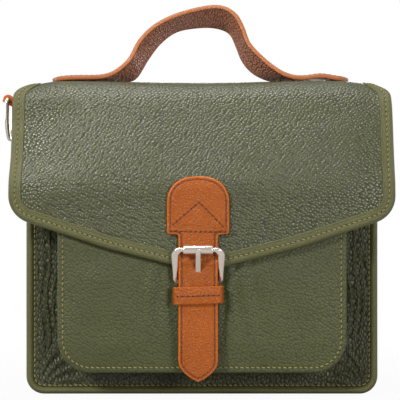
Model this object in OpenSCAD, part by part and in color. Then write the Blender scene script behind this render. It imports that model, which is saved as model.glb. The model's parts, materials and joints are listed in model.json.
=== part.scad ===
// A flapped leather messenger bag with a front pocket, a carrying handle and a buckled closure strap.
// X runs across the front, Y from front to back and Z upward. The origin is the centre of the base.

/* [Body] */
// Width over the bound edges
body_w = 238; // [200:1:280]
// Depth of the main compartment over its leather
body_d = 54; // [44:1:80]
// Height of the walls
wall_h = 196; // [170:1:230]
// Outer radius of the lower corners
corner_r = 12; // [8:1:20]
// Thickness of the body leather
leather_t = 2.2; // [1.6:0.1:3]
// Thickness of the bound edge
rim_d = 6.4; // [5:0.1:8]
// Thickness of the lining cloth
lining_t = 0.8; // [0.5:0.1:1.2]
// Thickness of the base board
board_t = 2; // [1:0.1:3]
// Height of the folded hems
hem_h = 13; // [8:1:20]
// Thickness of one hem layer
hem_t = 1.1; // [0.8:0.1:1.4]

/* [Front pocket] */
// Width of the pocket face
pocket_w = 190; // [150:1:200]
// Depth of the pocket over its leather
pocket_d = 25; // [18:1:36]
// Height of the pocket's lower edge above the base
pocket_low = 18; // [12:1:30]
// Height of the pocket's mouth above the base
pocket_top = 134; // [115:1:145]
// Radius of the pocket's lower corners
pocket_r = 22; // [12:1:34]
// Thickness of the pocket's gusset
pocket_wall_t = 1.8; // [1.2:0.1:2.4]

/* [Flap] */
// Width of the flap below the bend
flap_w = 253; // [245:1:290]
// Width of the flap on top
flap_top_w = 237.4; // [225:0.2:242]
// Height over which the flap widens just below the bend
flap_widen = 6; // [5:0.5:14]
// Height of the flat top above the walls
flap_rise = 17; // [14:1:26]
// Radius of the bend at the back
back_bend_r = 14; // [10:1:16]
// Radius of the bend at the front
front_bend_r = 24; // [16:1:30]
// Distance of the front bend's centre behind the front panel
bend_set = 10.3; // [6:0.1:16]
// Angle of the flap's upper front from the vertical
flap_slope = 18; // [12:1:30]
// Space between the flap's lining and the pocket face
flap_gap = 2.5; // [2:0.1:5]
// Thickness of the flap leather
flap_leather_t = 2; // [1.4:0.1:2.6]
// Thickness of the flap lining
flap_lining_t = 0.9; // [0.5:0.1:1.2]
// Width of the bound edge of the flap
binding_w = 8; // [6:0.5:11]
// Thickness of the folded binding strip
binding_t = 0.6; // [0.4:0.1:1]
// Height of the flap's lower side corners
flap_side_z = 121.5; // [110:0.5:135]
// Height of the flap's lower edge half-way to its point
flap_shoulder_z = 100.5; // [92:0.5:112]
// Height of the flap's point
flap_point_z = 84.5; // [83:0.5:90]

/* [Handle] */
// Width of the handle strap
handle_w = 27; // [20:1:30]
// Thickness of the handle strap
handle_t = 3.4; // [2.5:0.1:4.5]
// Height of the arch above the flat top
handle_h = 56; // [35:1:70]
// Backward lean of the arch at rest
handle_lean = 18; // [0:1:25]

/* [Closure] */
// Sideways place of the strap on the flap
strap_x = -2.5; // [-8:0.5:8]
// Width of the strap
strap_w = 25.4; // [20:0.2:30]
// Thickness of the strap
strap_t = 2.9; // [2.2:0.1:3.6]
// Width of the D-shaped head
head_w = 40.5; // [34:0.5:50]
// Height of the head's top above the base
head_top = 146; // [140:0.5:152]
// Height of the head
head_h = 36.5; // [30:0.5:40]
// Length of the strap below the tab
tongue_len = 93.6; // [80:0.2:98]
// Length of the strap's tapered tip
tip_len = 14.3; // [8:0.1:24]
// Distance between the buckle's two bars
buckle_pitch = 20.9; // [18:0.1:23]
// Width of a buckle leg
leg_w = 4.2; // [3:0.1:6]
// Thickness of a buckle leg
leg_t = 2.4; // [2:0.1:3]
// Radius of the buckle's lower bar
bar_r = 1.5; // [1.2:0.05:1.6]
// Outer radius of the roller
roller_r = 3; // [2.5:0.1:3.6]
// Length of the roller
roller_len = 19.4; // [14:0.2:22]
// Width of the prong
prong_w = 3.8; // [2.6:0.1:4.6]
// Thickness of the prong
prong_t = 2.2; // [1.6:0.1:2.4]
// Thickness of the chape leather
chape_t = 1.25; // [1:0.05:1.4]
// Width of the chape
chape_w = 21; // [16:0.5:24]
// Height of the keeper
keeper_h = 11.2; // [8:0.2:13]
// Outer width of the keeper
keeper_w = 33; // [32:0.2:38]
// Thickness of the keeper leather
keeper_t = 1.7; // [1.2:0.1:2]
// Free travel of the keeper along the strap
keeper_run = 6; // [3:0.5:7]
// Diameter of the snap
snap_d = 17; // [14:0.5:20]
// Diameter of the snap's boss
snap_boss_d = 5; // [4:0.1:6]

/* [Rings] */
// Thickness of the ring wire
wire_d = 2.9; // [2.4:0.1:3.4]
// Inner width of a ring
ring_w = 25; // [22:0.5:32]
// Length of a ring's straight sides
ring_leg = 13; // [6:0.5:20]
// Height of the ring bars above the base
ring_z = 201; // [190:0.5:203]
// Distance of the left ring bar from the gusset
reach_left = 16.4; // [10:0.2:20]
// Distance of the right ring bar from the gusset
reach_right = 6; // [6:0.2:8]
// Width of a ring tab
tab_w = 20; // [14:0.5:21]
// Thickness of the tab leather
tab_t = 2.2; // [1.6:0.1:2.6]

/* [Fits] */
// Space between two sewn layers
seam_gap = 0.1; // [0.05:0.05:0.15]
// Space between pieces that move past each other
clear_gap = 0.3; // [0.25:0.05:0.35]
// Running clearance round a pin
pin_gap = 0.08; // [0.05:0.01:0.1]

/* [Hidden] */
$fn = 48;

// Body
rim_r = rim_d / 2;
rim_lift = 0.3;
rim_proud = 2.2;
gusset_inset = 1.4;
front_y = -body_d / 2;
back_y = body_d / 2;
gusset_hw = body_w / 2 - gusset_inset;
gusset_y = back_y + rim_proud - rim_d - seam_gap;
panel_hw = body_w / 2 - rim_d - seam_gap;
panel_low = rim_lift + rim_d + seam_gap;
panel_r = max(corner_r - rim_d, 2);
board_top = leather_t + seam_gap + board_t;

// Pocket
pocket_y = front_y - pocket_d;
pocket_inset = 1.5;

// Flap, as seen from the side
flap_t = flap_leather_t + seam_gap + flap_lining_t;
binding_lip = binding_t + seam_gap;
top_z = wall_h + flap_rise;
flap_back_y = back_y + clear_gap + flap_t;
flap_front_y = pocket_y - flap_gap - flap_t;
seam_low = wall_h - 3 * binding_w;
back_c = [flap_back_y - back_bend_r, top_z - back_bend_r];
front_c = [front_y + bend_set, top_z - front_bend_r];
knee_r = 40;
bend_end = 180 - flap_slope;
split_a = 90 + (90 - flap_slope) / 2;
split_half = 0.1 / front_bend_r * 180 / PI;
bend_tail = front_c + front_bend_r * [cos(bend_end), sin(bend_end)];
knee_y = flap_front_y + knee_r * (1 - cos(flap_slope));
knee_z = bend_tail[1] - (bend_tail[0] - knee_y) / tan(flap_slope) - knee_r * sin(flap_slope);
split_z = front_c[1] + front_bend_r * sin(split_a);
flap_low = flap_point_z - 10;

// Flap, as seen from the front
flap_hw = flap_w / 2;
flap_top_hw = flap_top_w / 2;
flap_half = [[flap_hw / 2, flap_shoulder_z, 150], [flap_hw, flap_side_z, 18],
  [flap_hw, split_z - 1 - flap_widen, 1.5 * binding_w],
  [flap_top_hw, split_z - 1, flap_widen / 2], [flap_top_hw, top_z + 90, 0]];
flap_corners = concat([[0, flap_point_z, 40]], flap_half,
  [for (i = [len(flap_half) - 1:-1:0]) [-flap_half[i][0], flap_half[i][1], flap_half[i][2]]]);

// Handle: the front and back edges of the arch, as [x, share of the arch height], then its lean
handle_pts = [[-104, 0], [-90, 0.002], [-77, 0.01], [-66, 0.045], [-57.5, 0.13], [-49.5, 0.287], [-43, 0.53],
  [-32.5, 0.735], [-17, 0.888], [3, 0.992], [15, 0.99], [23.5, 0.883], [28.3, 0.708], [32.5, 0.492],
  [41.5, 0.294], [52.5, 0.12], [62, 0.035], [72, 0.008], [88, 0.002], [102, 0]];
handle_back_pts = [[-104, 0], [-90, 0.002], [-76, 0.004], [-63, 0.012], [-53.5, 0.028],
  [-46.8, 0.085], [-38.7, 0.345],
  [-29.7, 0.577], [-17.5, 0.745], [1, 0.8], [14, 0.77], [21.5, 0.68], [25.8, 0.5], [29.5, 0.318],
  [35.5, 0.165], [43.8, 0.068], [54.5, 0.025], [69, 0.008], [88, 0.002], [102, 0]];
handle_base = top_z + seam_gap + handle_t / 2;
handle_rise = handle_h - seam_gap - handle_t;
handle_steps = 3;
handle_cut_left = 4 * handle_steps;
handle_cut_right = 15 * handle_steps;
handle_grip_left = 5 * handle_steps;
handle_grip_right = 14 * handle_steps;
handle_last = (len(handle_pts) - 1) * handle_steps;

// Closure
strap_back_y = flap_front_y - binding_lip - clear_gap + 0.1;
strap_face_y = strap_back_y - strap_t;
head_low = head_top - head_h;
strap_top = head_low - 2.5;
roller_z = strap_top - 7.6;
bar_z = roller_z - buckle_pitch;
tip_z = strap_top - tongue_len;
loop_r = bar_r + pin_gap + chape_t;
bar_y = pocket_y - clear_gap - loop_r;
roller_y = strap_face_y - 0.1 - roller_r;
axle_r = roller_r - 1.3;
frame_tilt = atan2(bar_y - roller_y, buckle_pitch);
frame_len = norm([bar_y - roller_y, buckle_pitch]);
leg_in = strap_w / 2 + 0.4;
leg_set = 0.6;
prong_ring_r = bar_r + pin_gap + 1.2;
prong_a = frame_tilt + asin((roller_r + 0.25 + prong_t / 2) / frame_len);
prong_len = frame_len + 3.6;
slot_w = prong_w + 0.8;
prong_lift = 6;
slot_reach = bar_y - strap_back_y - prong_t / 2 / cos(prong_a + prong_lift);
slot_low = bar_z + slot_reach / tan(prong_a + prong_lift) - 0.4;
slot_high = bar_z + (bar_y - strap_face_y + prong_t / 2 / cos(prong_a)) / tan(prong_a) + 0.4;
tail_front_y = strap_back_y + seam_gap;
tail_back_y = tail_front_y + chape_t;
keeper_top = bar_z - loop_r - 0.4;
keeper_low = keeper_top - keeper_h;
snap_z = keeper_low - keeper_run - 1.3 - snap_d / 2;
tail_low = snap_z - snap_d / 2 - 1;
snap_gap = pocket_y - seam_gap - tail_back_y - seam_gap;
socket_h = snap_gap * 0.5;
stud_h = snap_gap - socket_h - clear_gap;
shank_r = 2.5;

// Rings
wire_r = wire_d / 2;
ring_hw = ring_w / 2 + wire_r;
eye_r = wire_r + pin_gap + tab_t;
tab_low = ring_z - 30;

// A round arc of n steps about centre c
function arc(c, r, a0, a1, n) =
  [for (i = [0:n]) c + r * [cos(a0 + (a1 - a0) * i / n), sin(a0 + (a1 - a0) * i / n)]];
function back_to_front(list) = [for (i = [len(list) - 1:-1:0]) list[i]];

// An upright U, closed across the top, with round lower corners
function u_points(hw, low, high, r) = concat([[hw, high], [-hw, high]],
  arc([-hw + r, low + r], r, 180, 270, 6), arc([hw - r, low + r], r, 270, 360, 6));

// One rounded corner [x, y, radius] of a closed outline
function corner_arc(c, i, n) =
  let (m = len(c),
    p = [c[i][0], c[i][1]],
    before = c[(i + m - 1) % m],
    after = c[(i + 1) % m],
    a = [before[0], before[1]] - p,
    b = [after[0], after[1]] - p,
    ua = a / norm(a),
    ub = b / norm(b),
    half = acos(ua * ub) / 2,
    r = c[i][2],
    start = p + ua * r / tan(half),
    centre = p + (ua + ub) / max(norm(ua + ub), 0.001) * r / sin(half),
    a0 = atan2(start[1] - centre[1], start[0] - centre[0]),
    turn = (ua[0] * ub[1] - ua[1] * ub[0] > 0 ? -1 : 1) * (180 - 2 * half))
  r == 0 ? [p] : arc(centre, r, a0, a0 + turn, n);
function rounded(c, n) = [for (i = [0:len(c) - 1]) each corner_arc(c, i, n)];

// A closed outline moved inward by d
function inset(pts, d) = let (m = len(pts))
  [for (i = [0:m - 1]) let (t = pts[(i + 1) % m] - pts[(i + m - 1) % m])
    pts[i] + d * [-t[1], t[0]] / norm(t)];

// The flap's side curve at depth d under its outer face, over the top and down the front
function top_path(d) = concat(arc(back_c, back_bend_r - d, 0, 90, 8),
  arc(front_c, front_bend_r - d, 90, split_a - split_half, 5));
function front_path(d) = concat(arc(front_c, front_bend_r - d, split_a + split_half, bend_end, 5),
  arc([flap_front_y + knee_r, knee_z], knee_r - d, bend_end, 180, 4), [[flap_front_y + d, flap_low]]);
flap_outline = rounded(flap_corners, 8);

// A point of one of the handle's edges, on a smooth curve through its points
function handle_at(pts, k) =
  let (n = len(pts) - 1,
    i = min(floor(k / handle_steps), n - 1),
    u = k / handle_steps - i,
    p0 = pts[max(i - 1, 0)],
    p1 = pts[i],
    p2 = pts[i + 1],
    p3 = pts[min(i + 2, n)])
  0.5 * (2 * p1 + (p2 - p0) * u + (2 * p0 - 5 * p1 + 4 * p2 - p3) * u * u
  + (3 * p1 - p0 - 3 * p2 + p3) * u * u * u);
function handle_front(k) = let (p = handle_at(handle_pts, k), h = max(p[1], 0) * handle_rise)
  [p[0], -handle_w / 2 + h * tan(handle_lean), handle_base + h];
// The back edge keeps the strap's width from the front edge
function handle_back(k) = let (p = handle_at(handle_back_pts, k), f = handle_front(k),
    z = handle_base + max(p[1], 0) * handle_rise,
    across = handle_w * handle_w - (z - f[2]) * (z - f[2]) - (p[0] - f[0]) * (p[0] - f[0]))
  [p[0], f[1] + sqrt(max(across, handle_w)), z];
function handle_ring(k) =
  let (f = handle_front(k),
    b = handle_back(k),
    a0 = handle_front(max(k - 1, 0)) + handle_back(max(k - 1, 0)),
    a1 = handle_front(min(k + 1, handle_last)) + handle_back(min(k + 1, handle_last)),
    n = cross(a1 - a0, b - f),
    o = n / norm(n) * handle_t / 2)
  [f - o, f + o, b + o, b - o];

module along_x(w) { translate([-w / 2, 0, 0]) rotate([90, 0, 90]) linear_extrude(w) children(); }
module along_y(y0, y1) { translate([0, y1, 0]) rotate([90, 0, 0]) linear_extrude(y1 - y0) children(); }
module bar_x(r, len, y, z) { translate([-len / 2, y, z]) rotate([0, 90, 0]) cylinder(r = r, h = len); }
module rod_y(x, y, z, r, len) { translate([x, y, z]) rotate([-90, 0, 0]) cylinder(r = r, h = len); }
module sheet(near, far) { polygon(concat(near, back_to_front(far))); }
module closed_u(hw, low, high, r, t) {
  difference() {
    polygon(u_points(hw, low, high, r));
    polygon(u_points(hw - t, low + t, high + 1, max(r - t, 0.5)));
  }
}
module u_tube(hw, low, high, bend, r) {
  for (s = [-1, 1]) {
    translate([s * hw, 0, low + bend]) cylinder(r = r, h = high - low - bend);
    translate([s * (hw - bend), 0, low + bend]) rotate([90, s > 0 ? 90 : 180, 0])
      rotate_extrude(angle = 90) translate([bend, 0]) circle(r);
  }
  translate([-(hw - bend), 0, low]) rotate([0, 90, 0]) cylinder(r = r, h = 2 * (hw - bend));
}
module handle_part(k0, k1) {
  m = k1 - k0;
  rings = [for (k = [k0:k1]) each handle_ring(k)];
  sides = [for (i = [0:m - 1]) for (j = [0:3])
    each [[4 * i + j, 4 * i + (j + 1) % 4, 4 * i + 4 + j],
      [4 * i + (j + 1) % 4, 4 * i + 4 + (j + 1) % 4, 4 * i + 4 + j]]];
  polyhedron(rings, concat(sides, [[0, 2, 1], [0, 3, 2],
    [4 * m, 4 * m + 1, 4 * m + 2], [4 * m, 4 * m + 2, 4 * m + 3]]));
}
module rounded_box(w, y0, y1, r) {
  polygon(rounded([[w / 2, y0, r], [w / 2, y1, r], [-w / 2, y1, r], [-w / 2, y0, r]], 4));
}

module back_panel() {
  color("darkolivegreen") along_y(back_y - leather_t, back_y)
    polygon(u_points(panel_hw, panel_low, wall_h, panel_r));
}
module front_panel() {
  color("darkolivegreen") along_y(front_y, front_y + leather_t)
    polygon(u_points(panel_hw, panel_low, wall_h, panel_r));
}
module gusset() {
  color("darkolivegreen") along_y(-gusset_y, gusset_y) closed_u(gusset_hw, 0, wall_h, corner_r, leather_t);
}
module rim(y) {
  color("olivedrab") translate([0, y, 0])
    u_tube(body_w / 2 - rim_r, rim_lift + rim_r, wall_h, max(corner_r - rim_r, rim_r + 0.6), rim_r);
}
module front_rim() { rim(front_y - rim_proud + rim_r); }
module back_rim() { rim(back_y + rim_proud - rim_r); }
module base_board() {
  color("saddlebrown") translate([-(gusset_hw - corner_r), -gusset_y, leather_t + seam_gap])
    cube([2 * (gusset_hw - corner_r), 2 * gusset_y, board_t]);
}
module lining() {
  hw = gusset_hw - leather_t - seam_gap;
  low = board_top + seam_gap;
  r = max(corner_r - leather_t, 2);
  color("tan") difference() {
    along_y(-gusset_y, gusset_y) polygon(u_points(hw, low, wall_h - 2, r));
    along_y(-gusset_y + lining_t, gusset_y - lining_t)
      polygon(u_points(hw - lining_t, low + lining_t, wall_h + 5, r));
  }
}
module hem(y, t, hw, top) {
  color("darkolivegreen") difference() {
    translate([-hw, y - seam_gap - hem_t, top - hem_h])
      cube([2 * hw, t + 2 * (seam_gap + hem_t), hem_h + seam_gap + hem_t]);
    translate([-hw - 1, y - seam_gap, top - hem_h - 1])
      cube([2 * hw + 2, t + 2 * seam_gap, hem_h + 1 + seam_gap]);
  }
}
module mouth_hem() { hem(front_y, leather_t, panel_hw - 0.5, wall_h); }
module pocket_hem() { hem(pocket_y, leather_t, pocket_w / 2 - pocket_inset - pocket_wall_t - 1, pocket_top); }
module pocket_front() {
  color("olivedrab") difference() {
    along_y(pocket_y, pocket_y + leather_t) polygon(u_points(pocket_w / 2, pocket_low, pocket_top, pocket_r));
    rod_y(strap_x, pocket_y - 1, snap_z, shank_r + 0.05, leather_t + 2);
  }
}
module pocket_gusset() {
  color("darkolivegreen") along_y(pocket_y + leather_t + seam_gap, front_y - seam_gap)
    closed_u(pocket_w / 2 - pocket_inset, pocket_low + pocket_inset, pocket_top - hem_h - 1,
      max(pocket_r - pocket_inset, 3), pocket_wall_t);
}
module snap_socket() {
  color("silver") difference() {
    union() {
      rod_y(strap_x, pocket_y - seam_gap - socket_h, snap_z, snap_d / 2 + 0.5, socket_h);
      rod_y(strap_x, pocket_y - seam_gap - 0.5, snap_z, shank_r, leather_t + 2 * seam_gap + 1.4);
    }
    rod_y(strap_x, pocket_y - seam_gap - socket_h - 1, snap_z, snap_boss_d / 2 + 1.1, socket_h + 0.3);
  }
}
module snap_washer() {
  color("silver") difference() {
    rod_y(strap_x, pocket_y + leather_t + seam_gap, snap_z, snap_d / 2, 0.9);
    rod_y(strap_x, pocket_y, snap_z, shank_r + 0.05, leather_t + 4);
  }
}
module flap_seam() {
  color("olivedrab") translate([-panel_hw + 0.5, back_y + clear_gap, seam_low])
    cube([2 * panel_hw - 1, flap_t, back_c[1] - 0.2 - seam_low]);
}

module flap_top_sheet(d0, d1) {
  color("olivedrab") along_x(flap_top_w - 2 * (binding_t + 2 * seam_gap)) sheet(top_path(d0), top_path(d1));
}
module flap_top_leather() { flap_top_sheet(0, flap_leather_t); }
module flap_top_lining() { flap_top_sheet(flap_leather_t + seam_gap, flap_t); }
module flap_top_binding() {
  color("yellowgreen") difference() {
    along_x(flap_top_w) sheet(top_path(-binding_lip), top_path(flap_t + binding_lip));
    along_x(flap_top_w - 2 * binding_w) sheet(top_path(-binding_lip - 1), top_path(flap_t + binding_lip + 1));
    along_x(flap_top_w - 2 * (binding_t + seam_gap)) difference() {
      sheet(top_path(-seam_gap), top_path(flap_t + seam_gap));
      translate([flap_back_y - back_bend_r, back_c[1] - 1.5 * back_bend_r]) square([2, 1.5] * back_bend_r);
    }
    translate([-flap_w, flap_back_y - 1.5 * back_bend_r, back_c[1] - 0.8 * back_bend_r])
      cube([2 * flap_w, 3 * back_bend_r, 0.8 * back_bend_r]);
  }
}
module handle_end_left() { color("peru") handle_part(0, handle_cut_left); }
module handle_end_right() { color("peru") handle_part(handle_cut_right, handle_last); }
module handle_root_left() { color("peru") handle_part(handle_cut_left, handle_grip_left); }
module handle_root_right() { color("peru") handle_part(handle_grip_right, handle_cut_right); }
module handle_grip() { color("peru") handle_part(handle_grip_left, handle_grip_right); }

module flap_cut(d) { along_y(flap_front_y - 20, front_c[0] + 20) polygon(inset(flap_outline, d)); }
module flap_front_sheet(d0, d1) {
  color("olivedrab") intersection() {
    along_x(flap_w + 20) sheet(front_path(d0), front_path(d1));
    flap_cut(binding_t + 2 * seam_gap);
  }
}
module flap_front_leather() { flap_front_sheet(0, flap_leather_t); }
module flap_front_lining() { flap_front_sheet(flap_leather_t + seam_gap, flap_t); }
module flap_front_binding() {
  color("yellowgreen") difference() {
    intersection() {
      along_x(flap_w + 20) sheet(front_path(-binding_lip), front_path(flap_t + binding_lip));
      flap_cut(0);
    }
    flap_cut(binding_w);
    intersection() {
      along_x(flap_w + 20) sheet(front_path(-seam_gap), front_path(flap_t + seam_gap));
      flap_cut(binding_t + seam_gap);
    }
  }
}
module closure_tab() {
  hw = head_w / 2;
  sw = strap_w / 2;
  color("chocolate") translate([strap_x, 0, 0]) along_y(strap_face_y, flap_front_y - seam_gap)
    polygon(rounded([[hw, head_low, 2.5], [hw, head_top, hw * 0.9], [-hw, head_top, hw * 0.9],
      [-hw, head_low, 2.5],
      [-sw, head_low, 1], [-sw, strap_top + 0.1, 0], [sw, strap_top + 0.1, 0], [sw, head_low, 1]], 6));
}

module strap_tongue() {
  hw = strap_w / 2;
  color("chocolate") translate([strap_x, 0, 0]) difference() {
    along_y(strap_face_y, strap_back_y)
      polygon(rounded([[hw, strap_top - 0.1, 0], [-hw, strap_top - 0.1, 0], [-hw, tip_z + tip_len, 16],
        [0, tip_z - 1.2, 6], [hw, tip_z + tip_len, 16]], 6));
    along_y(strap_face_y - 1, strap_back_y + 1)
      translate([-slot_w / 2, slot_low]) square([slot_w, slot_high - slot_low]);
  }
}
module chape() {
  color("chocolate") translate([strap_x, 0, 0]) difference() {
    union() {
      bar_x(loop_r, chape_w, bar_y, bar_z);
      translate([-chape_w / 2, tail_front_y, tail_low]) cube([chape_w, chape_t, bar_z - tail_low]);
    }
    bar_x(bar_r + pin_gap, chape_w + 2, bar_y, bar_z);
    translate([-slot_w / 2, bar_y - 10, bar_z - prong_ring_r - 0.5]) cube([slot_w, 20, 20]);
    rod_y(0, tail_front_y - 1, snap_z, shank_r + 0.05, chape_t + 2);
  }
}
module snap_stud() {
  color("silver") {
    rod_y(strap_x, tail_back_y + seam_gap, snap_z, snap_d / 2, stud_h);
    rod_y(strap_x, tail_back_y + seam_gap + stud_h - 0.5, snap_z, snap_boss_d / 2, clear_gap + 1.6);
    rod_y(strap_x, tail_front_y + 0.1, snap_z, shank_r, chape_t + 0.5);
  }
}
module in_buckle() { translate([strap_x, bar_y, bar_z]) rotate([frame_tilt, 0, 0]) children(); }
module buckle_frame() {
  color("silver") in_buckle() {
    difference() {
      union() {
        for (s = [-1, 1]) {
          translate([s * (leg_in + leg_w / 2) - leg_w / 2, -leg_set - leg_t / 2, -bar_r])
            cube([leg_w, leg_t, frame_len + bar_r + axle_r]);
          translate([s * (roller_len / 2 + 0.2 + (leg_in - roller_len / 2) / 2), 0, frame_len])
            rotate([0, 90, 0]) cylinder(r = axle_r + 0.8, h = leg_in - roller_len / 2, center = true);
        }
        bar_x(bar_r, 2 * leg_in + 1, 0, 0);
        bar_x(axle_r, 2 * leg_in + 1, 0, frame_len);
      }
      for (s = [-1, 1]) for (w = [0, 1])
        translate([s * (leg_in + leg_w), 0, w * (frame_len + bar_r + axle_r) - bar_r]) rotate([0, 45, 0])
          cube([3, 20, 3], center = true);
    }
  }
}
module buckle_roller() {
  color("silver") in_buckle() difference() {
    bar_x(roller_r, roller_len, 0, frame_len);
    bar_x(axle_r + pin_gap, roller_len + 2, 0, frame_len);
  }
}
module buckle_prong() {
  color("silver") translate([strap_x, bar_y, bar_z]) rotate([prong_a, 0, 0]) difference() {
    union() {
      bar_x(prong_ring_r, prong_w, 0, 0);
      translate([-prong_w / 2, -prong_t / 2, 0]) cube([prong_w, prong_t, prong_len]);
    }
    bar_x(bar_r + pin_gap, prong_w + 2, 0, 0);
    translate([0, 0, prong_len]) rotate([45, 0, 0]) translate([0, prong_t * 0.8, 0])
      cube([prong_w + 2, prong_t, 9], center = true);
  }
}
module strap_keeper() {
  y0 = strap_face_y - clear_gap;
  y1 = tail_back_y + clear_gap;
  color("chocolate") translate([strap_x, 0, keeper_low]) linear_extrude(keeper_h) difference() {
    rounded_box(keeper_w, y0 - keeper_t, y1 + keeper_t, 3);
    rounded_box(keeper_w - 2 * keeper_t, y0, y1, 1.3);
  }
}

module ring_tab(reach) {
  eye = [gusset_hw + reach, ring_z];
  foot = [gusset_hw + seam_gap + tab_t / 2, ring_z - 0.55 * tab_w];
  run = (eye - foot) / norm(eye - foot);
  side = [-run[1], run[0]] * tab_t / 2;
  color("chocolate") along_y(-tab_w / 2, tab_w / 2) difference() {
    union() {
      translate([gusset_hw + seam_gap, tab_low]) square([tab_t, foot[1] - tab_low + tab_t / 2]);
      polygon([foot + side, foot - side, eye - side, eye + side]);
      translate(eye) circle(eye_r);
    }
    translate(eye) circle(wire_r + pin_gap);
  }
}
module d_ring(reach) {
  bend = wire_d * 1.1;
  color("silver") translate([gusset_hw + reach, 0, ring_z]) rotate([0, 0, 90]) {
    translate([-(ring_hw - bend), 0, 0]) rotate([0, 90, 0]) cylinder(r = wire_r, h = 2 * (ring_hw - bend));
    for (s = [-1, 1]) {
      translate([s * (ring_hw - bend), 0, -bend]) rotate([90, s > 0 ? 0 : -90, 0])
        rotate_extrude(angle = 90) translate([bend, 0]) circle(wire_r);
      translate([s * ring_hw, 0, -ring_leg]) cylinder(r = wire_r, h = ring_leg - bend);
    }
    translate([0, 0, -ring_leg]) rotate([90, 180, 0])
      rotate_extrude(angle = 180) translate([ring_hw, 0]) circle(wire_r);
  }
}
module ring_tab_left() { mirror([1, 0, 0]) ring_tab(reach_left); }
module ring_tab_right() { ring_tab(reach_right); }
module d_ring_left() { mirror([1, 0, 0]) d_ring(reach_left); }
module d_ring_right() { d_ring(reach_right); }

back_panel();
front_panel();
gusset();
front_rim();
back_rim();
base_board();
lining();
mouth_hem();
pocket_front();
pocket_gusset();
pocket_hem();
snap_socket();
snap_washer();
ring_tab_left();
ring_tab_right();
flap_seam();
flap_top_leather();
flap_top_lining();
flap_top_binding();
handle_end_left();
handle_end_right();
handle_root_left();
handle_root_right();
handle_grip();
flap_front_leather();
flap_front_lining();
flap_front_binding();
closure_tab();
strap_tongue();
chape();
snap_stud();
buckle_frame();
buckle_roller();
buckle_prong();
strap_keeper();
d_ring_left();
d_ring_right();
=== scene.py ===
"""Messenger bag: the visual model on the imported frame, as a Blender add-on.

The shared frame has +Z up, the front of the bag towards -Y and the floor at
z = 0. Length properties are metres, as Blender's units are. Surfaces are
worked out in millimetres, each as whole numpy arrays, and written as meshes.
"""

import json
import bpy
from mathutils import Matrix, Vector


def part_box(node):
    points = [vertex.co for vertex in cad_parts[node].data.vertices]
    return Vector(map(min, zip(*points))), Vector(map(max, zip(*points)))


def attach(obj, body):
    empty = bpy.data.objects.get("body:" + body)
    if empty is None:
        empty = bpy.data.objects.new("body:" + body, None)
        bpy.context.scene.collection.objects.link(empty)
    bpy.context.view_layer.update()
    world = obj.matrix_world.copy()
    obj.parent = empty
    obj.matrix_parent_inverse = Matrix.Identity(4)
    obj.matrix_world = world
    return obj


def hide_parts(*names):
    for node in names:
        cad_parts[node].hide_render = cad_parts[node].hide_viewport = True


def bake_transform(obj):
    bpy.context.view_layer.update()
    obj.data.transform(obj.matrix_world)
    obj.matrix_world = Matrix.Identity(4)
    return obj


bl_info = {
    "name": "Messenger Bag Builder",
    "version": (1, 0, 0),
    "blender": (4, 5, 0),
    "location": "View3D > Sidebar > Bag",
    "description": "Builds the looks of a flap-over messenger bag on its frame",
    "category": "Add Mesh",
}

from types import SimpleNamespace

import bmesh
import bpy
import numpy as np

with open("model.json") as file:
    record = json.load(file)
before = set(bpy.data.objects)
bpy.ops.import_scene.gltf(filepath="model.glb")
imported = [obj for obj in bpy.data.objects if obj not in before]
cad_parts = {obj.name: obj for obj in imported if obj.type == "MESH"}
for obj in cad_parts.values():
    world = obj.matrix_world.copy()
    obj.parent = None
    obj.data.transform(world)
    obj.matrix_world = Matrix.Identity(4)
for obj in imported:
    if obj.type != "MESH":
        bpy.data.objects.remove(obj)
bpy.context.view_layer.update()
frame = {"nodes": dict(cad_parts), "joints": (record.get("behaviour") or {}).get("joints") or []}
MM = 0.001


# Places read from the frame
def box_mm(node):
    """Low and high corner of a CAD node in mm."""
    low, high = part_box(node)
    return np.array(low) / MM, np.array(high) / MM


def joint_mm(name):
    """Place of a joint's axis in mm."""
    found = next(j for j in frame["joints"] if j["name"] == name)
    return np.array(found["pos_m"]) / MM


PANEL_LOW, PANEL_HIGH = box_mm("front_panel")
RIM_HIGH = box_mm("front_rim")[1]
POCKET_LOW, POCKET_HIGH = box_mm("pocket_front")
SEAM_LOW, SEAM_HIGH = box_mm("flap_seam")
TONGUE_LOW, TONGUE_HIGH = box_mm("strap_tongue")
FLAP_HIGH = box_mm("flap_front_binding")[1]
FLAP_TOP_HIGH = box_mm("flap_top_binding")[1]
BAR = joint_mm("prong_lift")
ROLLER = joint_mm("roller_spin")


# Properties
def length(name, size, text):
    """A length property; its default is given in mm and kept in metres."""
    return bpy.props.FloatProperty(name=name, default=float(size) * MM, description=text,
                                   subtype='DISTANCE', unit='LENGTH', precision=4)


def colour(name, rgb, text):
    """A colour property, given as display values 0..255 and kept linear."""
    c = np.array(rgb) / 255.0
    c = np.where(c > 0.04045, ((c + 0.055) / 1.055) ** 2.4, c / 12.92)
    return bpy.props.FloatVectorProperty(name=name, default=tuple(c), size=3, min=0.0, max=1.0,
                                         subtype='COLOR', description=text)


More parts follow.
